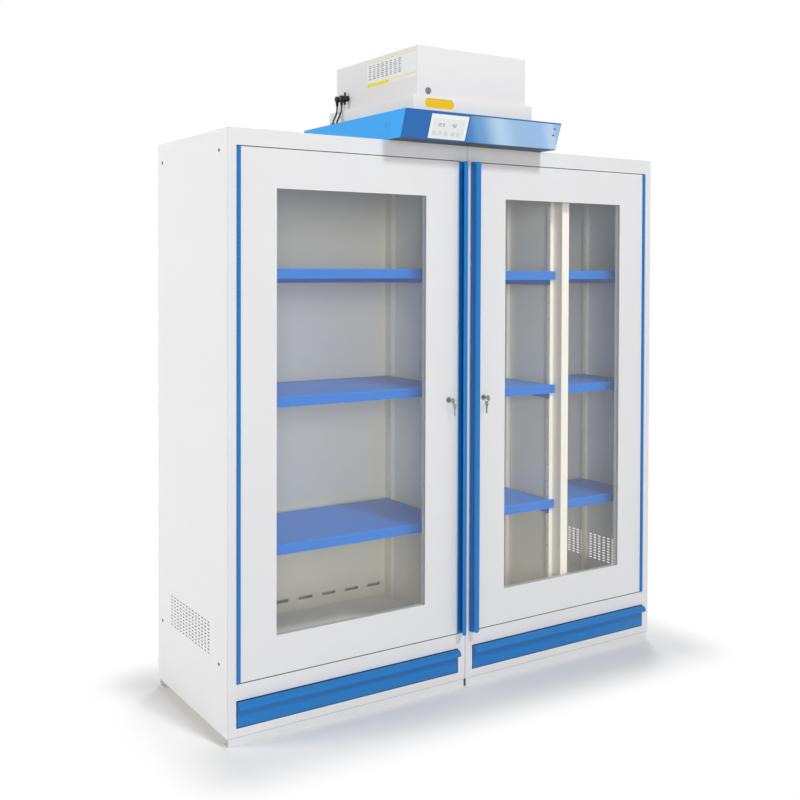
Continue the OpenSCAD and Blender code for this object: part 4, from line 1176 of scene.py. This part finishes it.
def makeUpright(side, u, way, y, s):
    w, t = s["width"], s["wall"]
    midZ = (s["low"] + s["high"]) / 2
    inner = u + way * (w - t)
    grid = field((1, s["holes"]), (1.0, s["pitch"]))
    face = sheetMesh((w, s["high"] - s["low"]), t, "inner", grid, s["slot"], s["slotPoints"])
    face.transform(facing(Vector((-side * way, 0, 0)), up, atBay(side, inner, y + w / 2, midZ)))
    webs = []
    for y0 in (y, y + w - t):
        ends = atBay(side, u, y0, s["low"]), atBay(side, inner, y0 + t, s["high"])
        webs.append((Vector(map(min, *ends)), Vector(map(max, *ends))))
    return [face, boxMesh("webs", webs)]


parts = []
for side, u, way, rows in uprightSet["places"]:
    for y in rows:
        parts += makeUpright(side, u, way, y, uprightSet)
channels = smoothed(joined(parts, "uprights"))
addPiece("upright_channels", channels, ["inner"], "cabinet", "white_paint", "shelf_uprights")
print("uprights made")


# Exhaust grille on the fan box

grilleSet = {
    "width": 324,
    "slots": 15,
    "step": 20,
    "slot": (280, 10),
    "slotPoints": 16,
    "low": 2328,
    "midY": 252,
    "sheet": 2,
}


def makeGrille(s):
    grid = field((1, s["slots"]), (1.0, s["step"]))
    mesh = sheetMesh((s["width"], s["width"]), s["sheet"], "boxWhite", grid, s["slot"], s["slotPoints"])
    mesh.transform(facing(up, rightward, atMiddle(0, s["midY"], s["low"])))
    addPiece("exhaust_bars", smoothed(mesh), ["boxWhite"], "cabinet", "grey_paint", "exhaust_grille")


makeGrille(grilleSet)


# Locks and keys

lockSet = {
    "u": 870,
    "z": 1068,
    "rim": 10.5,
    "rimOut": 2.5,
    "rimShape": [(0, 1.0), (0.3, 0.4), (0.9, 0)],
    "barrel": 8,
    "barrelEnd": 40.5,
    "core": 6,
    "bore": 6.05,
    "boreShape": [(-0.8, 0), (0, 0.7)],
    "coreOut": 3,
    "coreShape": [(0, 0.5), (0.5, 0)],
    "coreEnd": 41,
    "tail": 4,
    "tailEnd": 45,
    "keyThick": 1.5,
    "keyFold": 0.3,
    "bow": 10,
    "bowHole": 3.5,
    "bowOut": 28,
    "blade": 8,
    "spareBow": 9,
    "spareBlade": 28,
    "spareGap": 0.1,
    "notches": (0.9, 1.9, 1.2, 2.2, 1.4),
    "notchRun": 0.7,
    "notchTop": 0.4,
    "notchLean": 0.35,
    "shoulder": 2,
    "tip": 2.4,
    "ring": 10,
    "wire": 0.8,
    "wireFlat": 0.47,
    "ringGap": 0.9,
    "barrelPoints": 48,
    "corePoints": 40,
    "bowPoints": 40,
    "holePoints": 24,
    "smooth": 30,
}


def barrelMesh(s):
    # local z runs out of the door
    end = -s["barrelEnd"]
    return lathe([
        (s["bore"], end), (s["barrel"], end), (s["barrel"], 0), (s["rim"], 0),
        *eased(s["rim"], s["rimOut"], s["rimShape"]), *eased(s["bore"], s["rimOut"], s["boreShape"]),
        (s["bore"], end),
    ], s["barrelPoints"], "barrel")


def coreMesh(s):
    tailEnd, coreEnd = -s["tailEnd"], -s["coreEnd"]
    return lathe([
        (0, tailEnd), (s["tail"], tailEnd), (s["tail"], coreEnd), (s["core"], coreEnd),
        *eased(s["core"], s["coreOut"], s["coreShape"]), (0, s["coreOut"]),
    ], s["corePoints"], "core")


def keyMesh(bowRadius, stem, teeth, s):
    # outline in the key's plane: the bow round the origin, the blade along -y
    half = s["blade"] / 2
    lean = math.asin(half / bowRadius)
    outline = ringPoints(0, 0, bowRadius, s["bowPoints"], lean - math.pi / 2, 2 * math.pi - 2 * lean)
    foot = -bowRadius - stem
    if teeth:
        run = stem * s["notchRun"]
        step = run / len(s["notches"])
        outline.append((-half, foot + run + s["shoulder"]))
        for i, depth in enumerate(s["notches"]):
            y = foot + run - i * step
            outline += [(-half + s["notchTop"], y), (-half + depth, y - s["notchLean"] * step)]
        outline += [(-half + s["tip"], foot), (half - s["tip"], foot), (half, foot + s["tip"])]
    else:
        outline += [(-half, foot), (half, foot)]
    bm = plate(outline, [ringPoints(0, 0, s["bowHole"], s["holePoints"])], s["keyThick"])
    bmesh.ops.translate(bm, verts=bm.verts, vec=(0, 0, -s["keyThick"] * mm / 2))
    joinFlat(bm)
    roundEdges(bm, s["keyFold"])
    return toMesh(bm, "key")


def ringMesh(s, steps=56, sides=10):
    # a split ring: two flat turns side by side
    bm = bmesh.new()
    wire = s["wire"]
    section = ringPoints(0, 0, 1, sides)
    for shift in (-wire / 2, wire / 2):
        rings = []
        for x, y in ringPoints(0, 0, mm, steps):
            spots = [(s["ring"] + wire * a, shift + wire * s["wireFlat"] * b) for a, b in section]
            rings.append([bm.verts.new((r * x, r * y, z * mm)) for r, z in spots])
        for low, high in zip(rings, rings[1:] + rings[:1]):
            for k in range(sides):
                n = (k + 1) % sides
                bm.faces.new((low[k], high[k], high[n], low[n]))
    bmesh.ops.recalc_face_normals(bm, faces=bm.faces)
    return toMesh(bm, "ring")


def makeLock(word, side, s):
    def addSteel(name, meshes, finishName, body, node):
        mesh = smoothed(joined(meshes, node), s["smooth"])
        addPiece(word + name, mesh, [finishName], word + body, "steel", word + node)

    outward = facing(forward, up, atBay(side, s["u"], 0, s["z"]))
    addSteel("_lock_rim", [placed(barrelMesh(s), outward)], "chrome", "_door", "_lock_barrel")
    # the key's plane stands upright, with its blade into the lock
    key = keyMesh(s["bow"], s["bowOut"] - s["bow"] - s["rimOut"], False, s)
    key.transform(facing(rightward, forward, atBay(side, s["u"], -s["bowOut"], s["z"])))
    addSteel("_turning_key", [placed(coreMesh(s), outward), key], "nickel", "_lock", "_key")
    ringY = -s["bowOut"] - (s["bowHole"] - s["wire"] - s["ringGap"])
    reach = s["ring"] / math.sqrt(2)
    ringU, ringZ = s["u"] + reach, s["z"] - reach
    ring = placed(ringMesh(s), facing(forward, up, atBay(side, ringU, ringY, ringZ)))
    spareZ = ringZ - s["ring"] - (s["bowHole"] - s["wire"] - s["spareGap"])
    spare = keyMesh(s["spareBow"], s["spareBlade"], True, s)
    spare.transform(facing(rightward, up, atBay(side, ringU, ringY, spareZ)))
    addSteel("_hanging_key", [ring, spare], "nickel", "_spare", "_spare_key")


for word, side in bothSides.items():
    makeLock(word, side, lockSet)

boxLockSet = {
    "place": (-199, -33.5, 2175),
    "head": 12,
    "high": 4,
    "headShape": [(0, 1.6), (0.5, 0.7), (1.6, 0.1), (2.4, 0), (3.2, 0.3)],
    "well": 8.3,
    "face": 2.6,
    "disc": 7.6,
    "discLow": 0.5,
    "slot": (2, 12),
    "core": 8,
    "coreEnd": 16,
    "headPoints": 48,
    "discPoints": 36,
    "smooth": 50,
}


def makeBoxLock(s):
    face = s["face"]
    head = lathe([
        (0, -s["coreEnd"]), (s["core"], -s["coreEnd"]), (s["core"], 0), (s["head"], 0),
        *eased(s["head"], s["high"], s["headShape"]), (s["well"], face), (0, face),
    ], s["headPoints"], "head")
    rim = ringPoints(0, 0, s["disc"], s["discPoints"])
    disc = plate(rim, [rectangle(*s["slot"])], s["high"] - face - s["discLow"])
    bmesh.ops.translate(disc, verts=disc.verts, vec=(0, 0, face * mm))
    mesh = smoothed(joined([head, toMesh(disc, "disc")], "box_lock"), s["smooth"])
    # the slot and the ring round the disc stay dark
    dark = [abs(f.center.z - face * mm) < meshSet["seamWeld"] and f.normal.z > meshSet["square"]
            for f in mesh.polygons]
    mesh.transform(facing(forward, up, atMiddle(*s["place"])))
    addPiece("box_lock_head", mesh, ["chrome", "black"], "box_lock", "steel", "box_lock",
             pick=lambda side: dark[side.index])


makeBoxLock(boxLockSet)
print("locks made")


# Display: a raised screen, ring buttons and plain readings on the film

hoodFront = {"lean": 19.84, "footY": -85, "footZ": 1995}

displaySet = {
    "x": -158,
    "thick": 1.5,
    "sunk": 0.1,
    "screen": (138, 66, 4, 0.3),  # width, height, corner radius, thickness
    "screenUp": 46,
    "printLift": 0.15,
    "print": 0.2,
    "buttons": [
        (-58, "printRed"), (-34, "printGreen"), (-8, "printGrey"), (22, "printGrey"), (44, "printRed"),
    ],
    "buttonUp": 26,
    "buttonRadii": (6, 4.8),
    "buttonPoints": 28,
    "digit": (6.5, 12.0, 1.5),  # width, height, stroke
    "readings": [("12.5", -50, 50), ("40", 14, 50)],
    "strokes": {"0": "abcdef", "1": "bc", "2": "abged", "4": "fgbc", "5": "afgcd", ".": "p"},
}


def strokeBoxes(word, s):
    # seven-stroke numbers as boxes (x0, y0, x1, y1) from the word's lower left corner
    w, h, t = s["digit"]
    places = {
        "a": (0, h - t, w, h), "g": (0, (h - t) / 2, w, (h + t) / 2), "d": (0, 0, w, t),
        "f": (0, h / 2, t, h), "b": (w - t, h / 2, w, h), "e": (0, 0, t, h / 2), "c": (w - t, 0, w, h / 2),
        "p": (0, 0, t, t),
    }
    boxes, x = [], 0
    for letter in word:
        for key in s["strokes"][letter]:
            x0, y0, x1, y1 = places[key]
            boxes.append((x + x0, y0, x + x1, y1))
        x += 3 * t if letter == "." else w + 2 * t
    return boxes


def slopePlace(x, along, out):
    # a place on the hood's leaning front, so far up it and so far out of it
    lean = math.radians(hoodFront["lean"])
    normal = Vector((0, -math.cos(lean), -math.sin(lean)))
    top = Vector((0, -math.sin(lean), math.cos(lean)))
    foot = atMiddle(x, hoodFront["footY"], hoodFront["footZ"])
    return facing(normal, top, foot + (along * top + out * normal) * mm)


def printBoxes(name, boxes, thick):
    return boxMesh(name, [
        (Vector((x0, y0, 0)) * mm, Vector((x1, y1, thick)) * mm) for x0, y0, x1, y1 in boxes
    ])


def makeDisplay(s):
    screen = placed(roundedPlate(*s["screen"]), slopePlace(s["x"], s["screenUp"], s["thick"] - s["sunk"]))
    addPiece("display_screen", smoothed(screen), ["screen"], "cabinet", "display_face")
    front = s["thick"] + s["printLift"]
    outer, inner = [ringPoints(0, 0, radius, s["buttonPoints"]) for radius in s["buttonRadii"]]
    rings = []
    for x, _ in s["buttons"]:
        ring = toMesh(plate(outer, [inner], s["print"]), "button")
        rings.append(placed(ring, slopePlace(s["x"] + x, s["buttonUp"], front)))
    each = len(rings[0].polygons)
    addPiece("display_buttons", joined(rings, "buttons"), [name for _, name in s["buttons"]], "cabinet",
             "display_face", pick=lambda face: face.index // each)
    strokes = [
        (x + x0, y + y0, x + x1, y + y1)
        for word, x, y in s["readings"] for x0, y0, x1, y1 in strokeBoxes(word, s)
    ]
    readings = placed(printBoxes("readings", strokes, s["print"]), slopePlace(s["x"], 0, front))
    addPiece("display_readings", readings, ["printGrey"], "cabinet", "display_face")


makeDisplay(displaySet)

portSet = {
    "x": 322,
    "ups": (80, 56),
    "thick": 1.5,
    "step": 0.1,
    # width, height, corner radius, thickness
    "rim": (13, 8, 1.2, 0.3),
    "mouth": (9, 4.5, 0.8, 0.2),
}


def makePorts(s):
    # two plain service sockets at the end of the fascia
    def row(shape, out):
        plates = [placed(roundedPlate(*shape), slopePlace(s["x"], along, out)) for along in s["ups"]]
        return smoothed(joined(plates, "ports"))

    rims = row(s["rim"], s["thick"] - s["step"])
    addPiece("service_port_frames", rims, ["zinc"], "cabinet", "steel")
    mouths = row(s["mouth"], s["thick"] + s["step"])
    addPiece("service_port_mouths", mouths, ["black"], "cabinet", "black_plastic")


makePorts(portSet)


# A blank form on the fan box's left side: a film with two bands and rows of bars, nothing to read

labelSet = {
    "x": -244,
    "y0": -26,
    "y1": 306,
    "low": 2225,
    "high": 2319,
    "film": 0.15,
    "corner": 2,
    "edge": 1,
    "topBand": 4,
    "lowBand": 15,
    "lowBandShare": 0.45,
    "thinBand": 3,
    "bandThick": 0.06,
    "rows": field((8, 8), (29.0, 7.0)),
    "bars": {"Bar Length": 23.0, "Bar Height": 2.6, "Thickness": 0.1, "Seed": 4},
    "rowsMiddle": (-44, 8),
}


def makeLabel(s):
    wide = s["y1"] - s["y0"]
    high = s["high"] - s["low"]
    middle = atMiddle(s["x"], (s["y0"] + s["y1"]) / 2, (s["low"] + s["high"]) / 2)
    place = facing(leftward, up, middle)
    film = placed(roundedPlate(wide, high, s["corner"], s["film"]), place)
    addPiece("blank_form", film, ["labelWhite"], "cabinet", "white_paint")
    x1, y1 = wide / 2 - s["edge"], high / 2 - s["edge"]
    turn = wide * s["lowBandShare"] - wide / 2
    lowTop = s["lowBand"] - high / 2
    bands = printBoxes("bands", [
        (-x1, high / 2 - s["topBand"], x1, y1),
        (-x1, -y1, turn, lowTop),
        (turn, lowTop - s["thinBand"], x1, lowTop),
    ], s["film"] + s["bandThick"])
    addPiece("blank_form_bands", placed(bands, place), ["labelYellow"], "cabinet", "yellow_plate")
    rows = grown(printedRows, bpy.data.meshes.new("rows"), {
        **s["rows"], **s["bars"], "Centre": (*s["rowsMiddle"], s["film"]), "Material": finish["printGrey"],
    })
    addPiece("blank_form_rows", placed(rows, place), ["printGrey"], "cabinet", "white_paint")


makeLabel(labelSet)
print("display and form made")


# Plugs of the link leads, with ribbed sleeves, and the glands on the hood

plugSet = {
    "ys": (449.5, 484.5),
    "x": -244,
    "z": 2206,
    "length": 36,
    "radius": 11,
    "shape": [(0, 27), (1.4, 26), (1.4, 23), (0, 22), (0, 3), (0.9, 0.9), (3, 0)],
    "sleeveX": -273,
    "sleeveLow": 2177,
    "sleeve": 7,
    "sleeveFoot": 18.2,
    "tip": 3.9,
    "ribs": 5,
    "ribLow": 1.2,
    "ribStep": 3.2,
    "ribRadius": 4.2,
    "ribGrowth": 0.45,
    "ribShape": [(0, 0), (0.6, 0.7), (0.6, 1.9), (-0.1, 2.5)],  # outwards and up
    "latchX": -258,
    "latch": (6, 8, 48),
    "latchFold": 1.5,
    "glands": [(-292, 454), (-316, 440)],
    "glandLow": 2092,
    "gland": 9,
    "glandHigh": 12,
    "glandShape": [(0, 7.5), (0.8, 7), (0.8, 6.4), (0.3, 5.8), (0.6, 2.4), (2.2, 0.6), (3.6, 0)],
    "points": {"plug": 36, "sleeve": 28, "gland": 32},
    "smooth": 50,
}


def makePlugs(s):
    body = [(0, 0), (s["radius"], 0), *eased(s["radius"], s["length"], s["shape"]), (0, s["length"])]
    drop = s["z"] - s["sleeveLow"]
    sleeve = [(0, 0), (s["tip"], 0)]
    for i in range(s["ribs"]):  # ribs that let the sleeve bend
        radius = s["ribRadius"] + i * s["ribGrowth"]
        low = s["ribLow"] + i * s["ribStep"]
        sleeve += [(radius + outwards, low + rise) for outwards, rise in s["ribShape"]]
    sleeve += [(s["sleeve"], s["sleeveFoot"]), (s["sleeve"], drop), (0, drop)]
    parts = []

    def addTurned(profile, name, place):
        parts.append(placed(lathe(profile, s["points"][name], name), place))

    for y in s["ys"]:
        addTurned(body, "plug", facing(leftward, up, atMiddle(s["x"], y, s["z"])))
        addTurned(sleeve, "sleeve", Matrix.Translation(atMiddle(s["sleeveX"], y, s["sleeveLow"])))
    # the latch that holds the front plug
    half = Vector(s["latch"]) / 2
    middle = Vector((s["latchX"], s["ys"][0], s["z"]))
    latch = (atMiddle(*(middle - half)), atMiddle(*(middle + half)))
    parts.append(boxMesh("latch", [latch], s["latchFold"]))
    high = s["glandHigh"]
    gland = [(0, 0), (s["gland"], 0), *eased(s["gland"], high, s["glandShape"]), (0, high)]
    for x, y in s["glands"]:
        addTurned(gland, "gland", Matrix.Translation(atMiddle(x, y, s["glandLow"])))
    plugs = smoothed(joined(parts, "plugs"), s["smooth"])
    addPiece("lead_plug_bodies", plugs, ["black"], "cabinet", "black_plastic", "lead_plugs")


makePlugs(plugSet)


# Pins inside the mains inlet

inletSet = {
    "x": -250,
    "z": 2043.5,
    "back": 597,
    "front": 612,
    "pins": [(-7, -2), (0, 3), (7, -2)],
    "pin": (2, 4),
    "fold": 0.4,
}


def makePins(s):
    w, h = s["pin"]
    corners = []
    for x, z in s["pins"]:
        low = atMiddle(s["x"] + x - w / 2, s["back"], s["z"] + z - h / 2)
        corners.append((low, atMiddle(s["x"] + x + w / 2, s["front"], s["z"] + z + h / 2)))
    addPiece("inlet_pins", smoothed(boxMesh("pins", corners, s["fold"])), ["zinc"], "cabinet", "steel")


makePins(inletSet)


# Solids that are shown as they are, with their finish

keptSet = {
    "compartment_floors": "inner",
    "base_pans": "inner",
    "air_baffles": "inner",
    "shelf_clips": "zinc",
    "joining_bolts": "zinc",
    "frame_hinge_leaves": "blue",
    "hinge_pins": "zinc",
    "drawer_guides": "zinc",
    "_glass": "glass",
    "_door_leaf": "blue",
    "_lock_cam": "zinc",
    "fan_motor": "zinc",
    "impeller": "black",
}

for ending, finishName in keptSet.items():
    for word in sidesOf(ending):
        kept = nodes[word + ending].data.materials
        kept.clear()
        kept.append(finish[finishName])
print("solids dressed")


# Floor, world and lamps

stageSet = {
    "radius": 30.0,
    "corners": 96,
    "foot": (0.95, 0.37),
    "fade": (0.01, 0.28),
    "floor": (246, 246, 246),
    "roughness": 0.9,
    "ambient": 0.18,
    "lamps": {
        "key": {"place": (-6.5, 1.6, 3.2), "aim": (-0.9, 0, 1.1), "size": 3.2, "watts": 215},
        "fill": {"place": (-4.6, -9.6, 2.5), "aim": (0, 0, 1.1), "size": 4.0, "watts": 330},
        "overhead": {"place": (0.6, -6.2, 7.4), "aim": (0, -0.2, 1.2), "size": 1.4, "watts": 335},
        "rear": {"place": (5.2, 6.0, 4.2), "aim": (0.2, 0, 1.1), "size": 4.0, "watts": 350},
    },
}


def pathMask(tree):
    # camera, mirror and glass rays see the white surroundings
    path = addNode(tree, "ShaderNodeLightPath").outputs
    first = mathNode(tree, "MAXIMUM", path["Is Camera Ray"], path["Is Glossy Ray"])
    return mathNode(tree, "MAXIMUM", first, path["Is Transmission Ray"])


def makeFloor(s):
    bm = bmesh.new()
    bmesh.ops.create_circle(bm, cap_ends=True, segments=s["corners"], radius=s["radius"])
    floor = addObject("floor", toMesh(bm, "floor"))
    material, tree, shader, place = newMaterial("floorWhite")
    feedAll(tree, shader.inputs, {
        "Base Color": linear(s["floor"]), "Roughness": s["roughness"], "Specular IOR Level": 0.0,
    })
    # how far a point of the floor lies outside the cabinet's foot
    apart = addNode(tree, "ShaderNodeSeparateXYZ", {0: place}).outputs
    outside = []
    for axis, half in zip("XY", s["foot"]):
        past = minus(tree, mathNode(tree, "ABSOLUTE", apart[axis]), half)
        outside.append(mathNode(tree, "POWER", mathNode(tree, "MAXIMUM", past, 0), 2))
    far = mathNode(tree, "SQRT", plus(tree, *outside))
    near, gone = s["fade"]
    fade = addNode(tree, "ShaderNodeMapRange", {
        "Value": far, "From Min": near, "From Max": gone,
    }, interpolation_type="SMOOTHSTEP")
    mixOver(tree, times(tree, fade, pathMask(tree)), shader, addNode(tree, "ShaderNodeEmission"))
    floor.data.materials.append(material)


def makeWorld(s):
    world = bpy.data.worlds.new("studio")
    scene.world = world
    world.use_nodes = True
    tree = world.node_tree
    tree.nodes.clear()
    white = (1, 1, 1, 1)
    light = addNode(tree, "ShaderNodeBackground", {"Color": white, "Strength": s["ambient"]})
    addNode(tree, "ShaderNodeOutputWorld", {"Surface": light})
    mixOver(tree, pathMask(tree), light, addNode(tree, "ShaderNodeBackground", {"Color": white}))


def makeLamp(name, s):
    data = bpy.data.lights.new(name, "AREA")
    data.shape = "DISK"
    data.size = s["size"]
    data.energy = s["watts"]
    lamp = addObject(name, data)
    lamp.location = s["place"]
    aim = Vector(s["aim"]) - Vector(s["place"])
    lamp.rotation_euler = aim.to_track_quat("-Z", "Y").to_euler()
    lamp.visible_camera = False
    lamp.visible_glossy = False
    lamp.visible_transmission = False


makeFloor(stageSet)
makeWorld(stageSet)
for lampName, lampSet in stageSet["lamps"].items():
    makeLamp(lampName, lampSet)
scene.view_settings.view_transform = "Standard"
print("stage set")
